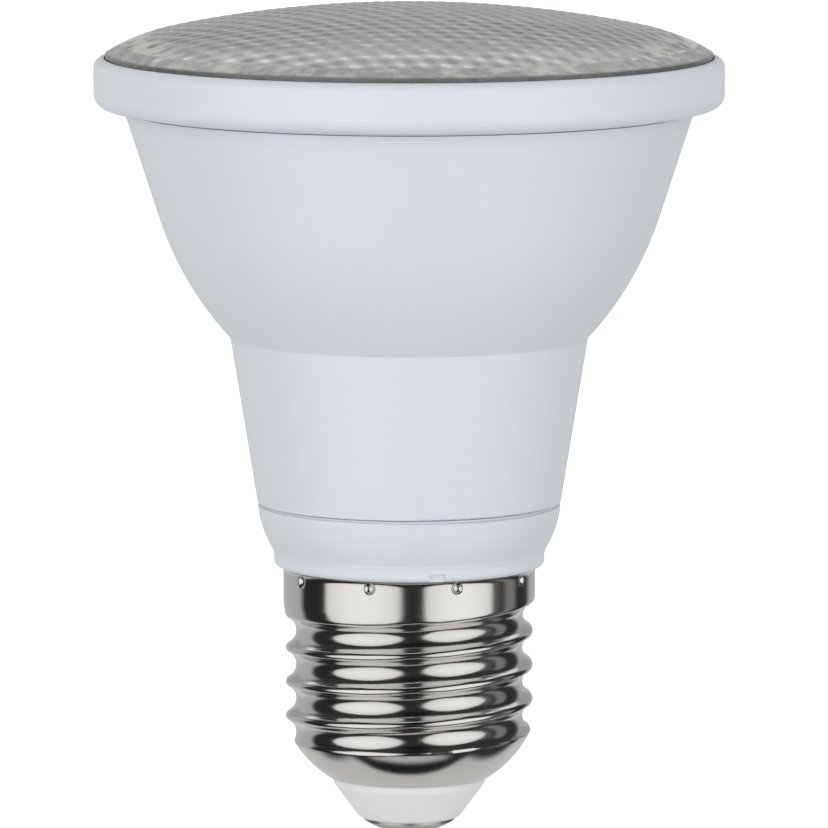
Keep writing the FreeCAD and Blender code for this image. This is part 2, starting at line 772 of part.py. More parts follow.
def notch_lip(body, bottom):
    """Small moulding notch in the lower lip."""
    doc.recompute()
    before = body.Shape.Volume
    sketch = new_sketch(body, "lip_notch_section", "XZ_Plane")
    turn_sketch(sketch, size.lip_notch_angle)
    draw_rectangle(
        sketch, size.lip_radius - size.lip_notch_depth, bottom - size.edge_round,
        size.lip_radius + size.edge_round, bottom + size.lip_notch_height)
    groove = body.newObject("PartDesign::Groove", "lip_notch")
    groove.Profile = sketch
    groove.ReferenceAxis = (sketch, ["V_Axis"])
    groove.Midplane = True
    groove.Angle = size.lip_notch_span.number
    groove.setExpression("Angle", size.lip_notch_span.words)
    check_less(body, "lip_notch", before)


def slot_rim(body):
    """Two slots in the upper rim, in line, that carry the driver board."""
    sketch = new_sketch(body, "board_notch_outline", "XY_Plane", size.spigot_top_height)
    reach = size.neck_bottom_radius + size.edge_round
    half = size.driver_thickness / 2 + size.fit_gap
    draw_rectangle(sketch, -reach, -half, reach, half)
    pocket(body, "board_notch", sketch, size.board_notch_depth)


def reflector_housing():
    """Neck and bell, moulded in one, with the spigot and bead that hold the ring."""
    bottom = neck_bottom_height()
    crease = bell_curve_at(crease_height())
    inner_crease = crease_height() + size.crease_inner_rise
    start_radius, start_height = bell_start()
    inner_radius, inner_height = bell_start(size.bell_wall)
    spigot_bore = spigot_radius() - size.mouth_spigot_wall
    bore_height = inner_height + (spigot_bore - inner_radius) / tangent(size.bell_flare_angle)
    top = mouth_height() + size.mouth_spigot_height
    outer_curve = size.bell_curve_radius
    inner_curve = size.bell_curve_radius - size.bell_wall
    return turned_piece("reflector_housing", [
        (size.neck_bottom_radius - size.edge_round, bottom, size.edge_round),
        (neck_at(bottom + size.edge_round), bottom + size.edge_round),
        (crease, crease_height(), outer_curve),
        (start_radius, start_height),
        (mouth_radius(), mouth_height()),
        (spigot_radius(), mouth_height()),
        *snap_bead(spigot_radius(), 0),
        (spigot_radius(), top),
        (spigot_bore, top),
        (spigot_bore, bore_height),
        (inner_radius, inner_height, -inner_curve),
        (bell_curve_at(inner_crease, size.bell_wall), inner_crease),
        (crease - size.neck_wall, crease_height()),
        (size.neck_bottom_radius - size.neck_wall, bottom),
    ])


def snap_bead(radius, gap):
    """Bead round the spigot, from below: gap widens it to the groove that takes it."""
    middle = mouth_height() + size.snap_bead_height
    land = size.snap_bead_land / 2 + gap
    foot = land + size.snap_bead_slope
    return [
        (radius, middle - foot),
        (radius + size.snap_bead_rise, middle - land),
        (radius + size.snap_bead_rise, middle + land),
        (radius, middle + foot),
    ]


def ring_bottom_height():
    return mouth_height() + size.fit_gap


def ledge_bottom_height():
    return mouth_height() + size.mouth_spigot_height + size.fit_gap


def ledge_top_height():
    return ledge_bottom_height() + size.ring_ledge_thickness


def front_ring():
    """Ring that snaps on the bell's mouth and carries the lens on a ledge."""
    bottom = ring_bottom_height()
    top = bottom + size.ring_height
    bore = spigot_radius() + size.fit_gap
    lens_bore = lens_bore_radius()
    groove = snap_bead(bore, size.fit_gap)
    return turned_piece("front_ring", [
        (bore, bottom),
        (bore + size.ring_under_land, bottom),
        (ring_radius() - size.ring_under_inset, bottom + size.ring_under_rise, size.ring_lower_round),
        (ring_radius(), bottom + size.ring_lower_height),
        (ring_radius(), top - size.ring_upper_round, size.ring_upper_round),
        (ring_radius() - size.ring_upper_round, top),
        (lens_bore, top),
        (lens_bore, ledge_top_height()),
        (size.lens_radius - size.ring_ledge_reach, ledge_top_height()),
        (size.lens_radius - size.ring_ledge_reach, ledge_bottom_height()),
        (bore, ledge_bottom_height()),
        *reversed(groove),
    ])


def gasket_inner_radius():
    return size.lens_radius - size.gasket_width


def lens_gasket():
    """Flat gasket between the ring's ledge and the lens."""
    bottom = ledge_top_height()
    top = bottom + size.gasket_thickness
    return turned_piece("lens_gasket", [
        (gasket_inner_radius(), bottom),
        (size.lens_radius, bottom),
        (size.lens_radius, top),
        (gasket_inner_radius(), top),
    ])


def lens():
    """Clear dome with a thicker rim that lies on the gasket."""
    dome = size.lens_dome_radius
    inner_dome = dome - size.lens_thickness
    bottom = ledge_top_height() + size.gasket_thickness
    rim_height = bottom + size.lens_rim_height
    border = size.lens_radius - size.lens_border_width
    curve_across = border - size.lens_border_curve * border / dome
    curve_centre = rim_height - other_leg(size.lens_border_curve, size.lens_radius - curve_across)
    centre = curve_centre - (dome - size.lens_border_curve) * other_leg(dome, border) / dome
    hollow = size.lens_radius - size.lens_seat_width
    return turned_piece("lens", [
        (gasket_inner_radius(), bottom),
        (size.lens_radius, bottom),
        (size.lens_radius, rim_height, size.lens_border_curve),
        (border, centre + other_leg(dome, border), dome),
        (None, centre + dome),
        (None, centre + inner_dome, -inner_dome),
        (hollow, centre + other_leg(inner_dome, hollow)),
    ])


# Heat sink and light board

def sink_top_height():
    return mouth_height() - size.sink_top_drop


def sink_bottom_height():
    return crease_height() + size.sink_bottom_rise


def light_board_top():
    return sink_top_height() + size.pad_thickness + size.light_board_thickness


def polar_point(radius, angle):
    return radius * cosine(angle), radius * sine(angle)


def screw_holes(body, name, height, radius, depth):
    """Through holes for the board's screws."""
    sketch = new_sketch(body, name + "_outline", "XY_Plane", height)
    screw_x, screw_y = polar_point(size.screw_circle_radius, size.screw_first_angle)
    draw_circle(sketch, radius, screw_x, screw_y)
    hole = pocket(body, name, sketch, depth)
    repeat_round(body, name + "_round", [hole], size.screw_count)


def heat_sink():
    """Pressed cup that lies in the bell, with a flat top for the light board."""
    top = sink_top_height()
    under = top - size.sink_plate_thickness
    outer = size.bell_wall + size.sink_gap
    inner = outer + size.sink_wall
    outer_radius, outer_height = bell_start(outer)
    inner_radius, inner_height = bell_start(inner)
    body = turned_piece("heat_sink", [
        (size.wire_hole_radius, under),
        (bell_flare_at(under, inner), under),
        (inner_radius, inner_height, inner - size.bell_curve_radius),
        (bell_curve_at(sink_bottom_height(), inner), sink_bottom_height()),
        (bell_curve_at(sink_bottom_height(), outer), sink_bottom_height(),
         size.bell_curve_radius - outer),
        (outer_radius, outer_height),
        (bell_flare_at(top, outer), top),
        (size.wire_hole_radius, top),
    ])
    screw_holes(body, "sink_hole", top, size.screw_radius + size.fit_gap,
                size.sink_plate_thickness)
    return body


def round_plate(label, radius, bottom, thickness):
    """Disc with the wire hole and the screw holes."""
    body = new_body(label)
    sketch = new_sketch(body, label + "_outline", "XY_Plane", bottom)
    draw_circle(sketch, radius)
    draw_circle(sketch, size.wire_hole_radius)
    pad(body, label + "_plate", sketch, thickness)
    screw_holes(body, label + "_hole", bottom + thickness,
                size.screw_radius + size.screw_hole_gap, thickness)
    return body


def thermal_pad():
    return round_plate("thermal_pad", size.pad_radius, sink_top_height(), size.pad_thickness)


def light_board():
    bottom = sink_top_height() + size.pad_thickness
    return round_plate("led_board", size.light_board_radius, bottom, size.light_board_thickness)


def source_circles():
    """Name, radius, count and first angle of both circles of light sources."""
    return (
        ("outer", size.outer_circle_radius, size.outer_circle_count, size.outer_circle_angle),
        ("inner", size.inner_circle_radius, size.inner_circle_count, size.inner_circle_angle),
    )


def draw_source(sketch, circle, angle, inset):
    """Rectangle of a light source, or of what lies inset from its edges."""
    half_length = size.package_length / 2 - inset
    half_width = size.package_width / 2 - inset
    corners = []
    for out, side in ((-1, -1), (1, -1), (1, 1), (-1, 1)):
        reach = circle + half_width * out
        sideways = half_length * side
        corners.append((reach * cosine(angle) - sideways * sine(angle),
                        reach * sine(angle) + sideways * cosine(angle)))
    draw_outline(sketch, corners)


def raise_sources(body, inset, bottom, thickness):
    """Rectangular pads on both circles."""
    for name, circle, count, angle in source_circles():
        sketch = new_sketch(body, f"{name}_outline", "XY_Plane", bottom)
        draw_source(sketch, circle, angle, inset)
        feature = pad(body, f"{name}_pad", sketch, thickness)
        repeat_round(body, f"{name}_round", [feature], count)


def light_packages():
    """White packages of the light sources, each with an open window."""
    body = new_body("led_packages")
    raise_sources(body, Size.of(0), light_board_top(), size.package_height)
    top = light_board_top() + size.package_height
    for name, circle, count, angle in source_circles():
        sketch = new_sketch(body, f"{name}_window_outline", "XY_Plane", top)
        draw_source(sketch, circle, angle, size.package_wall)
        hole = pocket(body, f"{name}_window", sketch, size.package_height - size.package_floor)
        repeat_round(body, f"{name}_window_round", [hole], count)
    return body


def light_phosphor():
    """Yellow filling of the windows."""
    body = new_body("led_phosphor")
    thickness = size.package_height - size.package_floor - size.fit_gap
    raise_sources(body, size.package_wall + size.solder_gap,
                  light_board_top() + size.package_floor, thickness)
    return body


def cross_outline():
    """Corners of the cross slot about the middle of a screw's head."""
    arm = size.screw_slot_length / 2
    half = size.screw_slot_width / 2
    quarter = [(half, -half), (arm, -half), (arm, half)]
    corners = []
    for turn in range(4):
        corners += quarter
        quarter = [(-up, across) for across, up in quarter]
    return corners


def board_screws():
    """Pan-head screws with a cross slot, on their circle."""
    seat = light_board_top()
    top = seat + size.screw_head_height
    middle = size.screw_circle_radius
    body = new_body("board_screws")
    sketch = new_sketch(body, "screw_section", "XZ_Plane")
    turn_sketch(sketch, size.screw_first_angle)
    axis = sketch.addGeometry(Part.LineSegment(
        FreeCAD.Vector(middle.number, seat.number, 0),
        FreeCAD.Vector(middle.number, top.number, 0)), True)
    place_point(sketch, axis, 1, middle, seat)
    place_point(sketch, axis, 2, middle, top)
    crown = size.screw_head_height - size.screw_head_rim
    bend = (size.screw_head_radius * size.screw_head_radius + crown * crown) / (2 * crown)
    draw_outline(sketch, [
        (middle, seat - size.screw_length),
        (middle + size.screw_radius, seat - size.screw_length),
        (middle + size.screw_radius, seat),
        (middle + size.screw_head_radius, seat),
        (middle + size.screw_head_radius, seat + size.screw_head_rim, bend),
        (middle, top),
    ])
    screw = turn_about_own_axis(body, "PartDesign::Revolution", "screw", sketch)
    repeat_round(body, "screws_round", [screw], size.screw_count)
    slot_sketch = new_sketch(body, "slot_outline", "XY_Plane", top)
    across, up = polar_point(middle, size.screw_first_angle)
    draw_outline(slot_sketch, [(across + right, up + back) for right, back in cross_outline()])
    slot = pocket(body, "slot", slot_sketch, size.screw_slot_depth)
    repeat_round(body, "slots_round", [slot], size.screw_count)
    return body


# Driver board and what it carries

def driver_face():
    """Distance of the board's faces from the lamp's axis."""
    return size.driver_thickness / 2


def driver_board():
    """Upright board: a tongue in the collar's skirt, and shoulders in the rim's slots."""
    shoulder = size.spigot_top_height - size.board_notch_depth + size.fit_gap
    tongue = size.skirt_bore_radius - size.driver_tongue_gap
    wing = size.spigot_bore_radius + size.driver_shoulder_reach
    body = new_body("driver_board")
    sketch = new_sketch(body, "driver_outline", "XZ_Plane")
    draw_outline(sketch, [
        (-tongue, size.driver_bottom_height),
        (tongue, size.driver_bottom_height),
        (tongue, shoulder),
        (wing, shoulder),
        (wing, size.driver_top_height),
        (-wing, size.driver_top_height),
        (-wing, shoulder),
        (-tongue, shoulder),
    ])
    pad(body, "driver_plate", sketch, size.driver_thickness, midplane=True)
    return body


def stand_on_board(body, across, level):
    """Lay a piece modelled upright on the board's front side, its foot on the board."""
    body.Placement = FreeCAD.Placement(
        FreeCAD.Vector(across.number, driver_face().number, level.number),
        FreeCAD.Rotation(FreeCAD.Vector(1, 0, 0), -90))
    body.setExpression("Placement.Base.x", across.words)
    body.setExpression("Placement.Base.y", driver_face().words)
    body.setExpression("Placement.Base.z", level.words)
    return body


def round_capacitor(label, radius, height, across, level):
    """Aluminium can with rounded edges and a rolled bead near its foot."""
    edge = size.can_round
    bead = size.can_bead_height
    reach = size.can_bead_depth
    body = turned_piece(label, [
        (None, None),
        (radius - edge, None, edge),
        (radius, edge),
        (radius, bead - reach),
        (radius - reach, bead),
        (radius, bead + reach),
        (radius, height - edge, edge),
        (radius - edge, height),
        (None, height),
    ])
    return stand_on_board(body, across, level)


def choke_core():
    """Ferrite core with two flanges."""
    flange = size.choke_flange_thickness
    body = turned_piece("choke_core", [
        (None, None),
        (size.choke_flange_radius, None),
        (size.choke_flange_radius, flange),
        (size.choke_neck_radius, flange),
        (size.choke_neck_radius, size.choke_height - flange),
        (size.choke_flange_radius, size.choke_height - flange),
        (size.choke_flange_radius, size.choke_height),
        (None, size.choke_height),
    ])
    return stand_on_board(body, size.choke_across, size.choke_level)


def choke_winding():
    """Copper winding between the flanges, as one solid."""
    flange = size.choke_flange_thickness + size.solder_gap
    inner = size.choke_neck_radius + size.solder_gap
    body = turned_piece("choke_winding", [
        (inner, flange),
        (size.winding_radius, flange),
        (size.winding_radius, size.choke_height - flange),
        (inner, size.choke_height - flange),
    ])
    return stand_on_board(body, size.choke_across, size.choke_level)


def front_block(label, length, depth, rise, level):
    """Box on the board's front side, in the middle."""
    return block(label, (-length / 2, driver_face(), level), (length, depth, rise))


def rear_block(label, length, depth, rise, level):
    """Box on the board's rear side, in the middle."""
    return block(label, (-length / 2, -driver_face() - depth, level), (length, depth, rise))


def fusible_resistor():
    """Round resistor with wider end caps, lying across the board's rear side."""
    half = size.resistor_length / 2
    waist = half - size.resistor_cap_length
    body = turned_piece("fusible_resistor", [
        (None, -half),
        (size.resistor_radius, -half),
        (size.resistor_radius, -waist),
        (size.resistor_waist_radius, -waist + size.edge_round),
        (size.resistor_waist_radius, waist - size.edge_round),
        (size.resistor_radius, waist),
        (size.resistor_radius, half),
        (None, half),
    ])
    depth = -driver_face() - size.resistor_radius - size.solder_gap
    body.Placement = FreeCAD.Placement(
        FreeCAD.Vector(0, depth.number, size.resistor_level.number),
        FreeCAD.Rotation(FreeCAD.Vector(0, 1, 0), 90))
    body.setExpression("Placement.Base.y", depth.words)
    body.setExpression("Placement.Base.z", size.resistor_level.words)
    return body


# Leads

def tube(label, points):
    """Lead along straight runs joined by tangent arcs."""
    radius = size.lead_radius.number
    bend = size.lead_bend.number
    points = [FreeCAD.Vector(*(Size.of(value).number for value in point)) for point in points]
    edges = []
    start = points[0]
    for before, corner, after in zip(points, points[1:], points[2:]):
        backward = (before - corner).normalize()
        forward = (after - corner).normalize()
        half_turn = (math.pi - backward.getAngle(forward)) / 2
        cut = bend * math.tan(half_turn)
        enter = corner + backward * cut
        leave = corner + forward * cut
        towards = (backward + forward).normalize()
        middle = corner + towards * (bend / math.cos(half_turn) - bend)
        edges.append(Part.LineSegment(start, enter).toShape())
        edges.append(Part.Arc(enter, middle, leave).toShape())
        start = leave
    edges.append(Part.LineSegment(start, points[-1]).toShape())
    path = Part.Wire(edges)
    ring = Part.Wire(Part.makeCircle(radius, points[0], points[1] - points[0]))
    shape = path.makePipeShell([ring], True, False)
    expected = math.pi * radius * radius * path.Length
    if abs(shape.Volume - expected) > expected / 50:
        raise RuntimeError(f"{label} has volume {shape.Volume}, not {expected}")
    feature = doc.addObject("Part::Feature", label)
    feature.Label = label
    feature.Shape = shape
    return feature


def board_side():
    """Middle of a lead that lies on a face of the driver board."""
    return driver_face() + size.lead_radius + size.solder_gap


def light_lead(label, side):
    """Lead from the driver board, through the wire hole, to the light board."""
    gathered = size.driver_top_height + size.lead_gather_rise
    loop = light_board_top() + size.lead_loop_rise
    in_hole = side * size.lead_spread
    on_board = side * size.lead_board_across
    on_pad = side * size.lead_pad_radius
    return tube(label, [
        (on_board, board_side(), size.driver_top_height - size.lead_board_overlap),
        (on_board, board_side(), size.driver_top_height + size.lead_clear_rise),
        (in_hole, 0, gathered),
        (in_hole, 0, loop),
        (on_pad, 0, loop),
        (on_pad, 0, light_board_top() + size.solder_gap),
    ])


def live_lead():
    """Lead from the driver board into the contact's hollow stem."""
    return tube("live_lead", [
        (0, -board_side(), size.live_board_level),
        (0, -board_side(), size.live_drop_height),
        (0, 0, size.live_axis_height),
        (0, 0, size.live_end_height),
    ])


def neutral_lead():
    """Lead from the driver board, under the skirt, to the shell."""
    reach = size.thread_root_radius - size.sheet_thickness - size.neutral_end_gap
    sideways = other_leg(reach, size.neutral_across)
    return tube("neutral_lead", [
        (size.neutral_across, -board_side(), size.live_board_level),
        (size.neutral_across, -board_side(), size.neutral_drop_height),
        (size.neutral_across, -sideways, size.neutral_end_height),
    ])


def all_pieces():
    return [
        centre_contact(),
        cap_insulator(),
        screw_shell(),
        cap_collar(),
        reflector_housing(),
        front_ring(),
        lens_gasket(),
        lens(),
        heat_sink(),
        thermal_pad(),
        light_board(),
        light_packages(),
        light_phosphor(),
        board_screws(),
        driver_board(),
        round_capacitor("bulk_capacitor", size.bulk_capacitor_radius, size.bulk_capacitor_height,
                        size.bulk_capacitor_across, size.bulk_capacitor_level),
        round_capacitor("small_capacitor", size.small_capacitor_radius,
                        size.small_capacitor_height, size.small_capacitor_across,
                        size.small_capacitor_level),
        choke_core(),
        choke_winding(),
        front_block("box_capacitor", size.box_capacitor_length, size.box_capacitor_depth,
                    size.box_capacitor_rise, size.box_capacitor_level),
        rear_block("bridge_rectifier", size.bridge_length, size.bridge_depth,
                   size.bridge_rise, size.bridge_level),
        rear_block("driver_chip", size.chip_length, size.chip_depth,
                   size.chip_rise, size.chip_level),
        fusible_resistor(),
        live_lead(),
        neutral_lead(),
        light_lead("led_lead_positive", 1),
        light_lead("led_lead_negative", -1),
    ]


def check_document(pieces):
    """Stop at the first object that did not compute, or that has no sound shape."""
    for item in doc.Objects:
        if any(state in ("Invalid", "Error") for state in item.State):
            raise RuntimeError(f"{item.Label} did not compute: {item.State}")
    for piece in pieces:
        if piece.Shape.isNull() or not piece.Shape.isValid() or piece.Shape.Volume <= 0:
            raise RuntimeError(f"{piece.Label} has no sound shape")


def write_parts(pieces):
    os.makedirs("parts", exist_ok=True)
    for piece in pieces:
        piece.Shape.exportStep(f"parts/{piece.Label}.step")


pieces = all_pieces()
doc.recompute()
check_document(pieces)
write_parts(pieces)
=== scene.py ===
"""White reflector spotlight bulb with a screw cap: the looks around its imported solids."""

import math

import bpy
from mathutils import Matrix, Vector


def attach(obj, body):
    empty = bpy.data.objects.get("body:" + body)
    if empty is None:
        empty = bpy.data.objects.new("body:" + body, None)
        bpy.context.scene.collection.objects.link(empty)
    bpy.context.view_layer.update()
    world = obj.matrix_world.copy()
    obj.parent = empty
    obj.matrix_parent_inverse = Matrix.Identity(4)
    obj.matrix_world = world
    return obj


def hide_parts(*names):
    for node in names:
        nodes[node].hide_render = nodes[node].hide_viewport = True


bl_info = {
    "name": "Reflector spotlight bulb",
    "version": (1, 0, 0),
    "blender": (4, 5, 0),
    "location": "3D View > Sidebar > Lamp",
    "description": "Dresses the packed solids of a reflector spotlight bulb",
    "category": "Object",
}

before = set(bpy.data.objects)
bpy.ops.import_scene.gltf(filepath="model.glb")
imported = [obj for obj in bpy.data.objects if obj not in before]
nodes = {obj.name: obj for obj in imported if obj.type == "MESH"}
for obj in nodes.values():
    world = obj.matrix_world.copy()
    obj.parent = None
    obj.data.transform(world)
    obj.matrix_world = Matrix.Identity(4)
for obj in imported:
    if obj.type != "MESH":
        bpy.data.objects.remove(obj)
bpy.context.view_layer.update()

MM = 0.001
FULL_TURN = 2 * math.pi
FRONT = -math.pi / 2


# Sizes and colours that a user may change

def length(name, description, millimetres):
    return bpy.props.FloatProperty(name=name, description=description, default=millimetres * MM,
                                   min=0.0, precision=5, unit="LENGTH", subtype="DISTANCE")


def turn(name, description, degrees):
    return bpy.props.FloatProperty(name=name, description=description,
                                   default=math.radians(degrees), subtype="ANGLE")


def colour(name, description, values):
    return bpy.props.FloatVectorProperty(name=name, description=description, default=values,
                                         size=3, min=0.0, max=1.0, subtype="COLOR")


class ShellSizes(bpy.types.PropertyGroup):
    """The rolled screw shell."""
    sheet: length("Sheet", "Thickness of the metal sheet", 0.3)
    edge_radius: length("Edge radius", "Lower edge of the shell", 8.57)
    edge_height: length("Edge height", "Height of the lower edge", 5.92)
    cone_angle: turn("Cone angle", "Lower cone, from the axis", 55)
    cone_end_radius: length("Cone end", "Radius where the cone curves upright", 8.9)
    curve_radius: length("Foot curve", "Curve from the cone to the thread", 12.0)
    crest_radius: length("Crest radius", "Thread over its crests", 13.05)
    root_radius: length("Root radius", "Thread in its roots", 11.95)
    crest_arc: length("Crest arc", "Round of the crests, in the section", 0.45)
    pitch: length("Pitch", "Rise of the thread in one turn", 3.629)
    crest_height: length("Crest height", "Height of the lowest crest at the front", 13.25)
    fade_turn: bpy.props.FloatProperty(name="Fade turn", description="Turn where the top root fades",
                                       default=2.75)
    fade_length: bpy.props.FloatProperty(name="Fade length", description="Turns that the fade takes",
                                         default=0.45)
    band_radius: length("Band radius", "Plain band above the thread", 13.28)
    band_foot_height: length("Band foot", "Height where the crests widen to the band", 22.4)
    band_height: length("Band height", "Height where the plain band starts", 24.9)
    lip_height: length("Lip height", "Height where the upper edge starts to flare", 27.75)
    lip_flare: length("Lip flare", "How far the upper edge stands out", 0.17)
    top_height: length("Top height", "Upper edge of the shell", 28.25)
    dimple_count: bpy.props.IntProperty(name="Dimples", description="Staking dimples", default=9)
    dimple_first: turn("First dimple", "Place of one dimple round the axis", -68)
    dimple_height: length("Dimple height", "Height of the dimples", 27.55)
    dimple_radius: length("Dimple radius", "Radius of a dimple's mouth", 0.6)
    dimple_depth: length("Dimple depth", "Depth of a dimple", 0.35)


class LensSizes(bpy.types.PropertyGroup):
    """The patterned front lens."""
    top_height: length("Top", "Top of the dome", 87.499)
    dome_radius: length("Dome", "Curve of the dome", 125)
    border_radius: length("Border", "Where the dome turns down to the rim", 26)
    border_curve: length("Border curve", "Curve of the border", 18)
    rim_radius: length("Rim", "Outer radius of the lens", 31.8)
    bottom_height: length("Bottom", "Where the lens lies on its gasket", 80.9)
    seat_radius: length("Seat", "Inner edge of the face on the gasket", 28)
    inner_radius: length("Hollow", "Edge of the hollow under the dome", 27)
    thickness: length("Thickness", "Thickness of the dome", 2.2)
    lenslet_pitch: length("Lenslet pitch", "Distance between lenslets", 2.3)
    lenslet_depth: length("Lenslet depth", "How far a lenslet bulges on the inner face", 0.34)
    lenslet_swell: length("Lenslet swell", "How far it shows on the outer face", 0.08)
    lenslet_fade: length("Lenslet fade", "Width over which they flatten at their edge", 1.2)
    lenslet_edge: length("Lenslet edge", "Where the lenslets end", 30.2)


class Finishes(bpy.types.PropertyGroup):
    """Colours of the finishes."""
    white: colour("White moulding", "Body, collar and ring", (0.74, 0.775, 0.815))
    white_warm: colour("White moulding, warmer", "Its slow change of tone", (0.765, 0.785, 0.805))
    nickel: colour("Nickel", "Plated screw shell", (0.74, 0.725, 0.70))
    insulator: colour("Insulator", "Cap insulator", (0.95, 0.95, 0.94))
    insulator_grey: colour("Insulator, greyer", "Its slow change of tone", (0.94, 0.94, 0.93))
    lens: colour("Lens", "Clear lens", (0.74, 0.75, 0.74))


class StudioSizes(bpy.types.PropertyGroup):
    """The camera."""
    camera_distance: length("Camera distance", "Camera in front of the axis", 887.1)
    camera_height: length("Camera height", "Camera above the floor", 156.4)
    camera_side: length("Camera side", "Camera to the right of the axis", 0.5)
    camera_pitch: turn("Camera pitch", "How far the camera looks down", 7.2)
    camera_lens: bpy.props.FloatProperty(name="Focal length", description="Focal length of the camera",
                                         default=369.6, unit="CAMERA")


# Shader maths on sockets

class Signal:
    """A socket of a node tree, with arithmetic that adds Math nodes."""

    def __init__(self, shade, socket):
        self.shade = shade
        self.socket = socket

    def math(self, operation, *others):
        return self.shade.math(operation, self, *others)

    def __add__(self, other):
        return self.math("ADD", other)

    __radd__ = __add__

    def __mul__(self, other):
        return self.math("MULTIPLY", other)

    __rmul__ = __mul__

    def __sub__(self, other):
        return self.math("SUBTRACT", other)

    def __rsub__(self, other):
        return self.shade.math("SUBTRACT", other, self)

    def __truediv__(self, other):
        return self.math("DIVIDE", other)

    def __abs__(self):
        return self.math("ABSOLUTE")


class NodeTree:
    """A node tree with short ways to add and link its nodes."""

    def __init__(self, tree):
        self.tree = tree
        self.tree.nodes.clear()

    def node(self, kind, settings=None, sockets=None):
        node = self.tree.nodes.new(kind)
        for key, value in (settings or {}).items():
            setattr(node, key, value)
        for key, value in (sockets or {}).items():
            self.feed(node.inputs[key], value)
        return node

    def feed(self, socket, value):
        if isinstance(value, Signal):
            value = value.socket
        if isinstance(value, bpy.types.NodeSocket):
            self.tree.links.new(value, socket)
        elif socket.type == "RGBA":
            socket.default_value = (*value, 1.0) if len(value) == 3 else value
        else:
            socket.default_value = value

    def math(self, operation, *values):
        node = self.node("ShaderNodeMath", {"operation": operation}, dict(enumerate(values)))
        return Signal(self, node.outputs[0])

    def axes(self, vector):
        """The X, Y and Z of a vector."""
        parts = self.node("ShaderNodeSeparateXYZ", {}, {0: vector})
        return [Signal(self, parts.outputs[axis]) for axis in "XYZ"]

    def ramp(self, factor, stops):
        """Grey ramp with (position, brightness) stops."""
        node = self.node("ShaderNodeValToRGB")
        elements = node.color_ramp.elements
        for index, (position, grey) in enumerate(stops):
            element = elements[index] if index < 2 else elements.new(position)
            element.position = position
            element.color = (grey, grey, grey, 1.0)
        self.feed(node.inputs[0], factor)
        return Signal(self, node.outputs[0])

    def step(self, value, low, high):
        """0 below low and 1 above high, eased between them."""
        node = self.node("ShaderNodeMapRange", {"interpolation_type": "SMOOTHSTEP"}, {
            "Value": value, "From Min": low, "From Max": high})
        return Signal(self, node.outputs[0])

    def fall(self, value, low, high):
        """1 below low and 0 above high, eased between them."""
        return 1 - self.step(value, low, high)


class Shade(NodeTree):
    """One material with its nodes."""

    def __init__(self, name, **constants):
        self.material = bpy.data.materials.new(name)
        self.material.use_nodes = True
        super().__init__(self.material.node_tree)
        self.surface = self.node("ShaderNodeBsdfPrincipled", {}, constants)
        self.output = self.node("ShaderNodeOutputMaterial", {}, {"Surface": self.surface.outputs[0]})
        self.place = self.node("ShaderNodeTexCoord").outputs["Object"]

    def noise(self, size, detail=2.0, stretch=(1, 1, 1)):
        """Noise whose features are about that size, in metres."""
        mapping = self.node("ShaderNodeMapping", {}, {
            "Vector": self.place, "Scale": tuple(1 / (size * part) for part in stretch)})
        node = self.node("ShaderNodeTexNoise", {}, {
            "Vector": mapping.outputs[0], "Scale": 1.0, "Detail": detail})
        return Signal(self, node.outputs[0])

    def mix(self, factor, first, second):
        """Colour from first at 0 to second at 1."""
        node = self.node("ShaderNodeMix", {"data_type": "RGBA"}, {0: factor, 6: first, 7: second})
        return node.outputs[2]

    def bump(self, height, distance):
        node = self.node("ShaderNodeBump", {}, {"Height": height, "Distance": distance})
        return node.outputs[0]

    def set(self, **sockets):
        for name, value in sockets.items():
            self.feed(self.surface.inputs[name.replace("_", " ")], value)


# Materials. The first number of a noise is the size of its features.

def plastic(name, first, second, roughness):
    """Moulded plastic with a slow change of tone and a fine grain."""
    shade = Shade(name)
    grain_height = 0.006 * MM
    shade.set(Base_Color=shade.mix(shade.noise(18 * MM, 3), first, second),
              Roughness=shade.noise(3 * MM, 3) * 0.10 + roughness,
              Normal=shade.bump(shade.noise(0.4 * MM, 3), grain_height))
    return shade.material


def metal(name, tone, roughness, stretch=(1, 1, 1)):
    """Metal with clouds in its shine and fine marks of its making, drawn out by stretch."""
    shade = Shade(name, Metallic=1.0)
    marks = shade.noise(0.5 * MM, 4, stretch)
    mark_depth = 0.004 * MM
    cloud = shade.noise(6 * MM, 3)
    dull = tuple(part * 0.86 for part in tone)
    shade.set(Base_Color=shade.mix(cloud, dull, tone),
              Roughness=marks * 0.08 + (cloud * 0.06 + roughness),
              Normal=shade.bump(marks, mark_depth))
    return shade.material


CLEAR_PLASTIC_IOR = 1.49
# colour of the painted light that the lens's border and rim gather
PAINTED_CREAM_LIGHT = (0.90, 0.89, 0.80)
# colour of the painted glints on the lenslets
PAINTED_GLINT = (0.96, 0.95, 0.90)
# grey of the rim: painted shade of the dark inside, seen through the clear plastic
RIM_PAINTED_SHADE = (0.36, 0.37, 0.35)
# painted shadow on the rim down in the ring
RIM_SHADOW = (0.14, 0.14, 0.13)
# a lenslet's painted dark spot of shade, its painted shaded side and its painted lit side, as shares of the
# lens's colour
LENSLET_TONES = (0.30, 0.58, 0.82)
# which side of a lenslet gets the painted light, as a turn from the side that X points to
PAINTED_LIGHT_SIDE = 0.5
# Edges on the lens, eased from the first number to the second.
# In a lenslet's slant: its painted dark spot, its painted glint, and the way from its painted shaded side
# to its painted lit side.
SPOT_EDGE, GLINT_EDGE, SIDE_EDGE = (0.7, 1.3), (0.95, 1.25), (-1.1, 1.1)
# In noise: patches of painted glints, of painted cream light in the border and of painted cream light on
# the rim.
GLINT_PATCHES, BORDER_PATCHES, RIM_PATCHES = (0.39, 0.50), (0.46, 0.62), (0.42, 0.66)
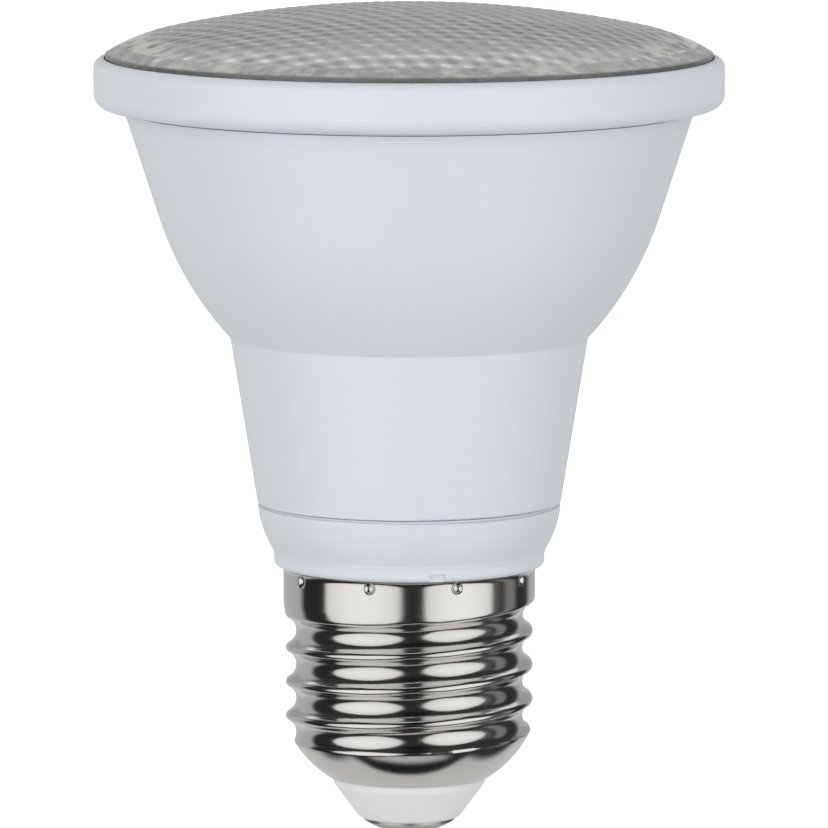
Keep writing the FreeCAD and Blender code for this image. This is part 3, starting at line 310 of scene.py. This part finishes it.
# In metres: the border outward from its radius, its painted cream light at the ends to the left and right,
# and the rim's painted shadow up from the lens's lowest face.
BORDER_EDGE, END_EDGE, SHADOW_EDGE = (0.0, 2.5 * MM), (-4 * MM, 1 * MM), (1.45 * MM, 1.75 * MM)
# directions of the three waves that make the lenslets
LENSLET_ANGLES = [math.pi / 2 + third * math.pi / 3 for third in range(3)]


def lenslet_wave(s):
    """Turn per metre along each of the three waves."""
    return 2 * FULL_TURN / (math.sqrt(3) * s.lenslet_pitch)


def lenslet_slant(shade, x, y, s):
    """How far a lenslet's face turns to the side with painted light, about -1.7 to 1.7, and a little
    uneven.
    """
    slant = 0.0
    for angle in LENSLET_ANGLES:
        turned = (x * math.cos(angle) + y * math.sin(angle)) * lenslet_wave(s)
        slant = turned.math("SINE") * math.sin(angle + PAINTED_LIGHT_SIDE) + slant
    return (shade.noise(2.4 * MM, 2) - 0.5) * 1.8 + slant


def border_light(shade, x, y, s):
    """Painted light where the lens's border gathers it, in patches: most at its left and right ends."""
    radius = shade.math("SQRT", x * x + y * y)
    border = shade.step(radius, *(s.border_radius + edge for edge in BORDER_EDGE))
    ends = shade.step(abs(x), *(s.border_radius + edge for edge in END_EDGE))
    patches = shade.step(shade.noise(2.4 * MM, 2) + ends * 0.07, *BORDER_PATCHES)
    return border * patches * (ends * 0.78 + 0.14)


def lenslet_face(name, tone, s, least, roughness):
    """Face with lenslets. Each has painted light and shade for the light that clear plastic bends: a lit
    side, a shaded side, a dark spot and glints.

    least is how much of it can be seen when it is looked at squarely.
    """
    shade = Shade(name, IOR=CLEAR_PLASTIC_IOR)
    x, y, _ = shade.axes(shade.place)
    slant = lenslet_slant(shade, x, y, s)
    # painted shade: dark spots on the lenslets' shaded sides, stronger in patches
    painted_shade_spots = shade.step(slant * -1, *SPOT_EDGE) * (shade.noise(12 * MM, 2) * 2.0 - 0.45)
    # painted highlights: glints on the lenslets' lit sides, in patches
    painted_glints = shade.step(shade.noise(5.5 * MM, 2), *GLINT_PATCHES) * shade.step(slant, *GLINT_EDGE)
    # colours of the painted dark spot, the painted shaded side and the painted lit side
    shade_spot, dark, lit_side = (tuple(part * level for part in tone) for level in LENSLET_TONES)
    lit_and_shaded_sides = shade.mix(shade.step(slant, *SIDE_EDGE), dark, lit_side)
    lenslets = shade.mix(painted_glints * 0.9, shade.mix(painted_shade_spots, lit_and_shaded_sides, shade_spot), PAINTED_GLINT)
    grazing = Signal(shade, shade.node("ShaderNodeLayerWeight", {}, {"Blend": 0.5}).outputs["Facing"])
    most = 0.95
    # painted cream light over the border, on top of the lenslets' painted light and shade
    shade.set(Base_Color=shade.mix(border_light(shade, x, y, s), lenslets, PAINTED_CREAM_LIGHT),
              Roughness=shade.noise(1 * MM, 2) * 0.08 + roughness,
              Alpha=grazing * (most - least) + least)
    return shade.material


def lens_rim(name, s):
    """Rim of the lens: painted cream light where it gathers light, over painted grey shade, and a painted
    shadow down in the ring.
    """
    shade = Shade(name, IOR=CLEAR_PLASTIC_IOR)
    height = shade.axes(shade.place)[2]
    patches = shade.step(shade.noise(2.1 * MM, 2), *RIM_PATCHES)
    # painted cream light in patches over the rim's painted grey shade
    painted_cream_on_shade = shade.mix(patches * 0.34, RIM_PAINTED_SHADE, PAINTED_CREAM_LIGHT)
    # painted shadow below this height, where the rim sits down in the ring
    above_ring = shade.step(height, *(s.bottom_height + edge for edge in SHADOW_EDGE))
    wave_height = 0.4 * MM
    shade.set(Base_Color=shade.mix(above_ring, RIM_SHADOW, painted_cream_on_shade),
              Roughness=shade.noise(2 * MM, 2) * 0.1 + 0.2,
              Normal=shade.bump(shade.noise(1.8 * MM, 2), wave_height))
    return shade.material


# Modelling helpers

# vertices nearer to each other than this are one
SEAM_GAP = 0.001 * MM


def deselect():
    """Leaves edit mode with nothing selected."""
    if bpy.context.object and bpy.context.object.mode != "OBJECT":
        bpy.ops.object.mode_set(mode="OBJECT")
    bpy.ops.object.select_all(action="DESELECT")


def only(piece):
    """Makes one piece the selected and active one."""
    deselect()
    piece.select_set(True)
    bpy.context.view_layer.objects.active = piece


def added(name):
    """The object that an operator has just made, with its name."""
    piece = bpy.context.object
    piece.name = name
    piece.data.name = name
    return piece


def grid_piece(name, columns, rows):
    """A flat grid with that many columns and rows of faces, and its vertices in rows."""
    deselect()
    bpy.ops.mesh.primitive_grid_add(x_subdivisions=columns, y_subdivisions=rows, size=1.0)
    return added(name)


def wrap_grid(piece, columns, rows, place):
    """Moves each vertex of a grid to place(column, row), closes its seam and turns its faces outward."""
    for vertex in piece.data.vertices:
        column = round((vertex.co.x + 0.5) * columns)
        row = round((vertex.co.y + 0.5) * rows)
        vertex.co = place(column % columns, row)
    only(piece)
    bpy.ops.object.mode_set(mode="EDIT")
    bpy.ops.mesh.select_all(action="SELECT")
    bpy.ops.mesh.remove_doubles(threshold=SEAM_GAP)
    bpy.ops.object.mode_set(mode="OBJECT")
    outward = sum(face.area * (face.normal.x * face.center.x + face.normal.y * face.center.y)
                  for face in piece.data.polygons)
    if outward < 0:
        bpy.ops.object.mode_set(mode="EDIT")
        bpy.ops.mesh.flip_normals()
        bpy.ops.object.mode_set(mode="OBJECT")


def smooth(piece, degrees):
    only(piece)
    bpy.ops.object.shade_smooth_by_angle(angle=math.radians(degrees))


def apply_modifier(piece, kind, **settings):
    only(piece)
    modifier = piece.modifiers.new(kind.lower(), kind)
    for key, value in settings.items():
        setattr(modifier, key, value)
    bpy.ops.object.modifier_apply(modifier=modifier.name)


def dress(names, material):
    """Gives CAD nodes their finish."""
    for name in names:
        mesh = nodes[name].data
        mesh.materials.clear()
        mesh.materials.append(material)


def stations(start, *runs):
    """Values from start through each (end, step)."""
    values = [start]
    for end, step in runs:
        first = values[-1]
        count = max(1, round((end - first) / step))
        values += [first + (end - first) * (k + 1) / count for k in range(count)]
    return values


def lower_blend(first, second, softness):
    """The lower of two values, with a round where they meet."""
    gap = max(softness - abs(first - second), 0) / softness
    return min(first, second) - gap * gap * softness / 4


def eased(value):
    """0 to 1 with a soft start and end."""
    value = min(max(value, 0.0), 1.0)
    return value * value * (3 - 2 * value)


# The screw shell

# steps of its mesh: round it, over a dimple, and up the foot, the thread, the band and the lip
ROUND_STEP = 0.5 * MM
DIMPLE_STEP = 0.11 * MM
FOOT_STEP = 0.3 * MM
THREAD_STEP = 0.19 * MM
BAND_STEP = 0.4 * MM
LIP_STEP = 0.12 * MM
# height where the foot's steps end
FOOT_END = 9.5 * MM
# how far the finer mesh round a dimple reaches, as a multiple of the dimple's radius
DIMPLE_REACH = 1.5
# round between the foot and the lowest crest
FOOT_ROUND = 0.25 * MM


def foot_radius(s, height):
    """Cone and curve below the thread."""
    slope = math.tan(s.cone_angle)
    cone_end = s.edge_height + (s.cone_end_radius - s.edge_radius) / slope
    if height < cone_end:
        return s.edge_radius + (height - s.edge_height) * slope
    across = s.cone_end_radius - s.curve_radius * math.cos(s.cone_angle)
    up = cone_end + s.curve_radius * math.sin(s.cone_angle)
    rise = min(height - up, 0.0)
    return across + math.sqrt(s.curve_radius ** 2 - rise * rise) + max(height - up, 0.0)


def groove_depth(s, angle, height):
    """Depth of the thread under its crests: wide round roots between narrow crests, rising to the right."""
    half = s.pitch / 2
    rise = s.crest_radius - s.root_radius
    arcs = (half * half + rise * rise) / (2 * rise)
    root_arc = arcs - s.crest_arc
    turned = ((angle - FRONT) % FULL_TURN) / FULL_TURN
    phase = (height - s.crest_height) / s.pitch - turned
    away = abs(phase - round(phase)) * s.pitch
    if away < half * s.crest_arc / arcs:
        depth = s.crest_arc - math.sqrt(s.crest_arc ** 2 - away * away)
    else:
        depth = rise - root_arc + math.sqrt(root_arc ** 2 - (half - away) ** 2)
    root_turn = math.floor(phase) + 0.5 + turned
    return depth * (1 - eased((root_turn - s.fade_turn) / s.fade_length))


def dimple_depth(s, angle, height):
    """How far the sheet is pressed in by the nearest dimple."""
    sector = FULL_TURN / s.dimple_count
    offset = (angle - s.dimple_first + sector / 2) % sector - sector / 2
    away = math.hypot(offset * s.band_radius, height - s.dimple_height)
    if away >= s.dimple_radius:
        return 0.0
    ball = (s.dimple_radius ** 2 + s.dimple_depth ** 2) / (2 * s.dimple_depth)
    return s.dimple_depth - ball + math.sqrt(ball * ball - away * away)


def shell_radius(s, angle, height):
    """Outer radius of the shell: foot, thread, band and lip, less the dimples."""
    widening = eased((height - s.band_foot_height) / (s.band_height - s.band_foot_height))
    crests = s.crest_radius + (s.band_radius - s.crest_radius) * widening
    thread = crests - groove_depth(s, angle, height)
    in_foot = height < s.band_foot_height
    radius = lower_blend(foot_radius(s, height), thread, FOOT_ROUND) if in_foot else thread
    flare = max(0.0, (height - s.lip_height) / (s.top_height - s.lip_height))
    return radius + s.lip_flare * flare * flare - dimple_depth(s, angle, height)


class LAMP_OT_screw_shell(bpy.types.Operator):
    """Rolls the screw shell with its thread and its staking dimples"""
    bl_idname = "lamp.screw_shell"
    bl_label = "Screw shell"

    def execute(self, context):
        s = context.scene.lamp_shell
        sector = FULL_TURN / s.dimple_count
        near = DIMPLE_REACH * s.dimple_radius / s.band_radius
        in_sector = stations(-near, (near, DIMPLE_STEP / s.band_radius),
                             (sector - near, ROUND_STEP / s.band_radius))[:-1]
        angles = [s.dimple_first + sector * k + offset
                  for k in range(s.dimple_count) for offset in in_sector]
        heights = stations(s.edge_height, (FOOT_END, FOOT_STEP), (s.band_height, THREAD_STEP),
                           (s.dimple_height - DIMPLE_REACH * s.dimple_radius, BAND_STEP),
                           (s.top_height, LIP_STEP))
        columns, rows = len(angles), len(heights) - 1
        piece = grid_piece("thread_shell", columns, rows)

        def place(column, row):
            angle, height = angles[column], heights[row]
            radius = shell_radius(s, angle, height)
            return Vector((radius * math.cos(angle), radius * math.sin(angle), height))

        wrap_grid(piece, columns, rows, place)
        apply_modifier(piece, "SOLIDIFY", thickness=s.sheet, offset=-1.0, use_even_offset=True)
        smooth(piece, 50)
        piece.data.materials.append(bpy.data.materials["polished nickel"])
        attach(piece, "root")
        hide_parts("screw_shell")
        return {"FINISHED"}


# The lens

# steps of its mesh: along the outer face, down the rim and along the hollow, and its faces round the axis
LENS_STEP = 0.33 * MM
RIM_STEP = 0.5 * MM
HOLLOW_STEP = 0.3 * MM
LENS_COLUMNS = 450
# under 1 the lenslets are fuller than a wave
LENSLET_ROUNDING = 0.8
# faces whose normals rise less than this face down or outward
LEAST_RISE = 0.05
# order of the lens's materials
OUTER, INNER, RIM = range(3)


def arc_height(radius, reach):
    """Height of an arc over its centre, at a distance from its axis."""
    return math.sqrt(radius * radius - reach * reach)


def lens_profile(s):
    """Outer face from the apex to the rim, the side and the seat, and the hollow from its edge inwards."""
    centre = s.top_height - s.dome_radius
    outer = [(r, centre + arc_height(s.dome_radius, r))
             for r in stations(0.0, (s.border_radius, LENS_STEP))]
    border_height = outer[-1][1]
    across = s.border_radius * (1 - s.border_curve / s.dome_radius)
    up = border_height - s.border_curve * (border_height - centre) / s.dome_radius
    outer += [(r, up + arc_height(s.border_curve, r - across))
              for r in stations(s.border_radius, (s.rim_radius, LENS_STEP))[1:]]
    side = [(s.rim_radius, h) for h in stations(outer[-1][1], (s.bottom_height, RIM_STEP))[1:]]
    seat = [(s.seat_radius, s.bottom_height)]
    inner_dome = s.dome_radius - s.thickness
    hollow = [(r, centre + arc_height(inner_dome, r))
              for r in stations(0.0, (s.inner_radius, HOLLOW_STEP))][::-1]
    return outer, side + seat, hollow


def lenslet(s, across, along):
    """Height of the rounded lenslets, from 0 between them to 1 in their middles."""
    total = sum(math.cos(lenslet_wave(s) * (across * math.cos(angle) + along * math.sin(angle)))
                for angle in LENSLET_ANGLES)
    lowest, highest = -1.5, 3.0
    return max(0.0, (total - lowest) / (highest - lowest)) ** LENSLET_ROUNDING


class LAMP_OT_lens(bpy.types.Operator):
    """Turns the clear front lens and gives both its faces their lenslets"""
    bl_idname = "lamp.lens"
    bl_label = "Lens"

    def execute(self, context):
        s = context.scene.lamp_lens
        outer, side, hollow = lens_profile(s)
        profile = outer + side + hollow
        inner_start = len(outer) + len(side)
        rows = len(profile) - 1
        piece = grid_piece("lens_cover", LENS_COLUMNS, rows)

        def place(column, row):
            angle = FULL_TURN * column / LENS_COLUMNS
            radius, height = profile[row]
            across, along = radius * math.cos(angle), radius * math.sin(angle)
            inside = row >= inner_start
            edge = s.inner_radius if inside else s.lenslet_edge
            fade = eased((edge - radius) / s.lenslet_fade)
            swell = lenslet(s, across, along)
            height -= fade * (s.lenslet_depth * swell if inside else s.lenslet_swell * (1 - swell))
            return Vector((across, along, height))

        wrap_grid(piece, LENS_COLUMNS, rows, place)
        smooth(piece, 35)
        for name in ("outer lenslet face", "inner lenslet face", "lens rim"):
            piece.data.materials.append(bpy.data.materials[name])
        for face in piece.data.polygons:
            radius = math.hypot(face.center.x, face.center.y)
            if face.normal.z < LEAST_RISE and radius < s.inner_radius:
                face.material_index = INNER
            elif face.normal.z < LEAST_RISE or radius > s.lenslet_edge:
                face.material_index = RIM
            else:
                face.material_index = OUTER
        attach(piece, "root")
        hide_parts("lens")
        return {"FINISHED"}


# Finishes on the solids that stay

# solids, material, colour, its slow change of tone and roughness
MOULDED = (
    (["lens_gasket"], "white silicone", (0.70, 0.70, 0.68), (0.64, 0.64, 0.62), 0.5),
    (["thermal_pad"], "grey silicone", (0.40, 0.42, 0.44), (0.36, 0.38, 0.40), 0.6),
    (["led_board"], "white solder mask", (0.86, 0.86, 0.82), (0.80, 0.80, 0.77), 0.30),
    (["led_packages"], "source moulding", (0.85, 0.84, 0.78), (0.80, 0.79, 0.74), 0.35),
    (["led_phosphor"], "phosphor", (0.92, 0.74, 0.22), (0.90, 0.68, 0.16), 0.4),
    (["driver_board"], "green laminate", (0.04, 0.20, 0.09), (0.03, 0.15, 0.07), 0.35),
    (["bulk_capacitor", "small_capacitor"], "black sleeve", (0.02, 0.02, 0.025), (0.03, 0.03, 0.035), 0.28),
    (["choke_core"], "ferrite", (0.05, 0.05, 0.055), (0.07, 0.07, 0.075), 0.55),
    (["box_capacitor"], "yellow case", (0.70, 0.48, 0.08), (0.66, 0.44, 0.07), 0.3),
    (["bridge_rectifier", "driver_chip"], "black case", (0.015, 0.015, 0.016), (0.025, 0.025, 0.026), 0.5),
    (["fusible_resistor"], "cement coat", (0.10, 0.24, 0.20), (0.12, 0.27, 0.23), 0.6),
    (["live_lead"], "brown insulation", (0.14, 0.05, 0.025), (0.12, 0.045, 0.02), 0.4),
    (["neutral_lead"], "blue insulation", (0.02, 0.07, 0.26), (0.02, 0.06, 0.22), 0.4),
    (["led_lead_positive"], "red insulation", (0.42, 0.02, 0.015), (0.36, 0.02, 0.012), 0.4),
    (["led_lead_negative"], "black insulation", (0.015, 0.015, 0.015), (0.02, 0.02, 0.02), 0.4),
)
# solids, material, colour, roughness and the stretch of its marks
METALS = (
    (["centre_contact"], "satin nickel", (0.52, 0.51, 0.49), 0.28, (1, 1, 1)),
    (["heat_sink"], "pressed aluminium", (0.72, 0.73, 0.74), 0.32, (1, 1, 4)),
    (["board_screws"], "zinc plate", (0.62, 0.62, 0.60), 0.26, (1, 1, 1)),
    (["choke_winding"], "copper wire", (0.72, 0.35, 0.18), 0.30, (1, 1, 1)),
)


class LAMP_OT_finishes(bpy.types.Operator):
    """Makes the finishes and gives them to the solids that stay"""
    bl_idname = "lamp.finishes"
    bl_label = "Finishes"

    def execute(self, context):
        f = context.scene.lamp_finishes
        lens = context.scene.lamp_lens
        metal("polished nickel", tuple(f.nickel), 0.06, (1, 1, 0.15))
        lenslet_face("outer lenslet face", tuple(f.lens), lens, least=0.55, roughness=0.10)
        lenslet_face("inner lenslet face", tuple(f.lens), lens, least=0.35, roughness=0.20)
        lens_rim("lens rim", lens)
        white = plastic("white moulding", tuple(f.white), tuple(f.white_warm), 0.36)
        dress(["reflector_housing", "cap_collar", "front_ring"], white)
        insulator = plastic("insulator moulding", tuple(f.insulator), tuple(f.insulator_grey), 0.30)
        dress(["cap_insulator"], insulator)
        for names, *finish in MOULDED:
            dress(names, plastic(*finish))
        for names, *finish in METALS:
            dress(names, metal(*finish))
        return {"FINISHED"}


# The stage

LIGHT_TARGET = Vector((0, 0, 45 * MM))
# name, degrees round from the camera, degrees up, distance, width and height in metres, watts
LIGHTS = (
    ("left softbox", -44, 12, 0.75, 1.0, 0.62, 2.45),
    ("right softbox", 43, 12, 0.75, 0.95, 0.62, 2.15),
    ("low front strip", 0, 2, 0.80, 1.2, 0.12, 0.6),
    ("left back softbox", -145, 14, 0.85, 0.8, 0.62, 2.1),
    ("right back softbox", 142, 14, 0.85, 0.8, 0.62, 2.1),
)
FLOOR_SIZE = 8.0
FLOOR_DROP = 0.1 * MM
# what the camera sees of the floor's own light, which keeps it near white
FLOOR_GLOW = 0.75
WHITE = (1.0, 1.0, 1.0)
ROOM_TINT = (0.94, 0.97, 1.0)
ROOM_LIGHT = 0.46


def softbox(name, azimuth, elevation, distance, width, height, power):
    """A soft rectangular light, seen from the lamp at an angle from the camera's side."""
    turned, raised = math.radians(azimuth), math.radians(elevation)
    light = bpy.data.lights.new(name, "AREA")
    light.shape = "RECTANGLE"
    light.size = width
    light.size_y = height
    light.energy = power
    holder = bpy.data.objects.new(name, light)
    bpy.context.scene.collection.objects.link(holder)
    holder.location = LIGHT_TARGET + distance * Vector((
        math.sin(turned) * math.cos(raised), -math.cos(turned) * math.cos(raised), math.sin(raised)))
    holder.rotation_euler = (LIGHT_TARGET - holder.location).to_track_quat("-Z", "Y").to_euler()
    holder.visible_glossy = False


def floor_material():
    """Pale floor that looks white to the camera."""
    shade = Shade("pale floor", Roughness=0.9)
    shade.set(Base_Color=shade.mix(shade.noise(0.2, 2), (0.80, 0.80, 0.80), (0.82, 0.82, 0.82)))
    path = shade.node("ShaderNodeLightPath")
    seen = Signal(shade, path.outputs["Is Camera Ray"])
    glow = shade.node("ShaderNodeEmission", {}, {"Color": WHITE, "Strength": seen * FLOOR_GLOW})
    both = shade.node("ShaderNodeAddShader", {}, {0: shade.surface.outputs[0], 1: glow.outputs[0]})
    shade.feed(shade.output.inputs["Surface"], both.outputs[0])
    return shade.material


# What the metal and the lens see, from behind on the left, past the camera, to behind on the right:
# (degrees from the camera, brightness)
ROOM_ROUND = (
    (-180, 0.55), (-120, 0.52), (-113, 0.03), (-84, 0.02), (68, 0.03), (74, 0.10), (90, 0.10), (95, 0.03),
    (101, 0.24), (111, 0.24), (116, 0.03), (136, 0.04), (144, 0.48), (180, 0.55),
)
# (degrees above the horizon, brightness) above and below those walls
ROOM_UP = (
    (-90, 0.62), (-67, 0.55), (-62, 0.04), (-58, 0.03), (58, 0.04), (66, 0.05), (74, 0.30), (90, 0.40),
)
# middle to the right of the camera, middle above the horizon, reach across and reach up, in degrees
SOFTBOXES = ((-45, -6, 40, 50), (48, -6, 36, 50))
# their brightness in the middle, and what they lose of it at the edge
SOFTBOX_MIDDLE, SOFTBOX_LOSS = 1.16, 0.30
# middle towards the right and the back, reach across and reach towards the back, of the dark patch below
LOW_DARK = (0.0, -0.03, 0.50, 0.165)
# share of the light that the dark patch and the gap overhead take away
DARK_SHARE, GAP_SHARE = 0.99, 0.8
# brightness of the wall behind the lamp, what the lit band adds to it, and brightness of the floor there
BACK_WALL, BACK_BAND, BACK_FLOOR = 0.40, 0.85, 0.64
# Edges in the room, eased from the first number to the second.
# In degrees: the walls above and below their middle, the gap overhead to its sides and upwards,
# the foot and top of the back wall, and the foot and top of its band.
WALL_MIDDLE, WALL_EDGE = -6, (28, 42)
GAP_MIDDLE, GAP_EDGE, GAP_RISE = 4, (6, 30), (10, 40)
BACK_FOOT, BACK_TOP = (2, 8), (62, 70)
BAND_FOOT, BAND_TOP = (26, 34), (52, 60)
# In parts of a direction of length 1: how far back the wall and the floor start, how far they go aside,
# and how low the floor and the dark patch start.
BACK_START, BACK_SIDE = (0.15, 0.30), (0.45, 0.60)
FLOOR_START, FLOOR_SIDE, FLOOR_FALL = (0.02, 0.10), (0.50, 0.60), (0.22, 0.34)
DARK_FALL = (0.5, 0.6)
# In squares of the distance from an oval's middle.
SOFTBOX_EDGE, DARK_EDGE = (0.80, 1.0), (0.88, 1.0)


def oval(across, along, shape):
    """Square of the distance from the middle of an oval, 1 at its edge."""
    middle, height, reach, rise = shape
    across = (across - middle) / reach
    along = (along - height) / rise
    return across * across + along * along


def room_walls(tree, aside, above):
    """Walls with their painted softboxes, and what is above and below them, by degrees."""
    walls = tree.ramp((aside + 180) / 360, [((turned + 180) / 360, grey) for turned, grey in ROOM_ROUND])
    ends = tree.ramp((above + 90) / 180, [((up + 90) / 180, grey) for up, grey in ROOM_UP])
    gap = tree.fall(abs(aside - GAP_MIDDLE), *GAP_EDGE) * tree.step(above, *GAP_RISE)
    ends = ends * (1 - gap * GAP_SHARE)
    inside = tree.fall(abs(above - WALL_MIDDLE), *WALL_EDGE)
    around = walls * inside + ends * (1 - inside)
    for softbox_oval in SOFTBOXES:
        distance = oval(aside, above, softbox_oval)
        lit = tree.fall(distance, *SOFTBOX_EDGE)
        around = around * (1 - lit) + (SOFTBOX_MIDDLE - distance * SOFTBOX_LOSS) * lit
    return around


def round_room(tree, direction):
    """Brightness of the studio in a direction: oval softboxes with dark gaps between them."""
    x, y, z = tree.axes(direction)
    aside = tree.math("ARCTAN2", x, y * -1) * (180 / math.pi)
    above = z.math("ARCSINE") * (180 / math.pi)
    around = room_walls(tree, aside, above)
    behind = tree.step(y, *BACK_START) * tree.fall(abs(x), *BACK_SIDE)
    wall = behind * tree.step(above, *BACK_FOOT) * tree.fall(above, *BACK_TOP)
    band = wall * tree.step(above, *BAND_FOOT) * tree.fall(above, *BAND_TOP)
    around = around * (1 - wall) + wall * BACK_WALL + band * BACK_BAND
    low = z * -1
    floor = tree.step(low, *FLOOR_FALL) * tree.step(y, *FLOOR_START) * tree.fall(abs(x), *FLOOR_SIDE)
    around = around * (1 - floor) + floor * BACK_FLOOR
    dark = tree.fall(oval(x, y, LOW_DARK), *DARK_EDGE) * tree.step(low, *DARK_FALL)
    return around * (1 - dark * DARK_SHARE)


def studio_world():
    """White for the camera, a soft room for the light, softboxes and dark gaps for what shines."""
    world = bpy.data.worlds.new("white studio")
    bpy.context.scene.world = world
    world.use_nodes = True
    tree = NodeTree(world.node_tree)
    path = tree.node("ShaderNodeLightPath")
    direction = tree.node("ShaderNodeTexCoord").outputs["Generated"]
    room = tree.node("ShaderNodeBackground", {}, {"Color": ROOM_TINT, "Strength": ROOM_LIGHT})
    seen = tree.node("ShaderNodeBackground", {}, {"Color": WHITE, "Strength": 1.0})
    shine = tree.node("ShaderNodeBackground", {}, {
        "Color": WHITE, "Strength": round_room(tree, direction)})
    glossy = tree.node("ShaderNodeMixShader", {}, {
        0: path.outputs["Is Glossy Ray"], 1: room.outputs[0], 2: shine.outputs[0]})
    camera = tree.node("ShaderNodeMixShader", {}, {
        0: path.outputs["Is Camera Ray"], 1: glossy.outputs[0], 2: seen.outputs[0]})
    tree.node("ShaderNodeOutputWorld", {}, {"Surface": camera.outputs[0]})


class LAMP_OT_stage(bpy.types.Operator):
    """Sets up the floor, the lights and the camera"""
    bl_idname = "lamp.stage"
    bl_label = "Stage"

    def execute(self, context):
        s = context.scene.lamp_studio
        deselect()
        bpy.ops.mesh.primitive_plane_add(size=FLOOR_SIZE, location=(0, 0, -FLOOR_DROP))
        floor = added("studio_floor")
        floor.data.materials.append(floor_material())
        floor.visible_glossy = False
        studio_world()
        for light in LIGHTS:
            softbox(*light)
        camera = bpy.data.cameras.new("photo camera")
        holder = bpy.data.objects.new("photo camera", camera)
        context.scene.collection.objects.link(holder)
        holder.location = (s.camera_side, -s.camera_distance, s.camera_height)
        holder.rotation_euler = (math.pi / 2 - s.camera_pitch, 0, 0)
        camera.lens = s.camera_lens
        camera.sensor_width = 36
        camera.clip_start = 0.01
        camera.clip_end = 30
        context.scene.camera = holder
        context.scene.view_settings.view_transform = "Standard"
        return {"FINISHED"}


class LAMP_PT_panel(bpy.types.Panel):
    """Lists the lamp's steps"""
    bl_idname = "LAMP_PT_panel"
    bl_label = "Reflector lamp"
    bl_space_type = "VIEW_3D"
    bl_region_type = "UI"
    bl_category = "Lamp"

    def draw(self, context):
        for step in STEPS:
            self.layout.operator(step.bl_idname)


STEPS = (LAMP_OT_finishes, LAMP_OT_screw_shell, LAMP_OT_lens, LAMP_OT_stage)
GROUPS = {"lamp_shell": ShellSizes, "lamp_lens": LensSizes, "lamp_finishes": Finishes,
          "lamp_studio": StudioSizes}


def register():
    for group in GROUPS.values():
        bpy.utils.register_class(group)
    for name, group in GROUPS.items():
        setattr(bpy.types.Scene, name, bpy.props.PointerProperty(type=group))
    for step in (*STEPS, LAMP_PT_panel):
        bpy.utils.register_class(step)


def unregister():
    for step in (LAMP_PT_panel, *reversed(STEPS)):
        bpy.utils.unregister_class(step)
    for name in GROUPS:
        delattr(bpy.types.Scene, name)
    for group in GROUPS.values():
        bpy.utils.unregister_class(group)


def main():
    register()
    bpy.ops.lamp.finishes()
    bpy.ops.lamp.screw_shell()
    bpy.ops.lamp.lens()
    bpy.ops.lamp.stage()


if __name__ == "__main__":
    main()
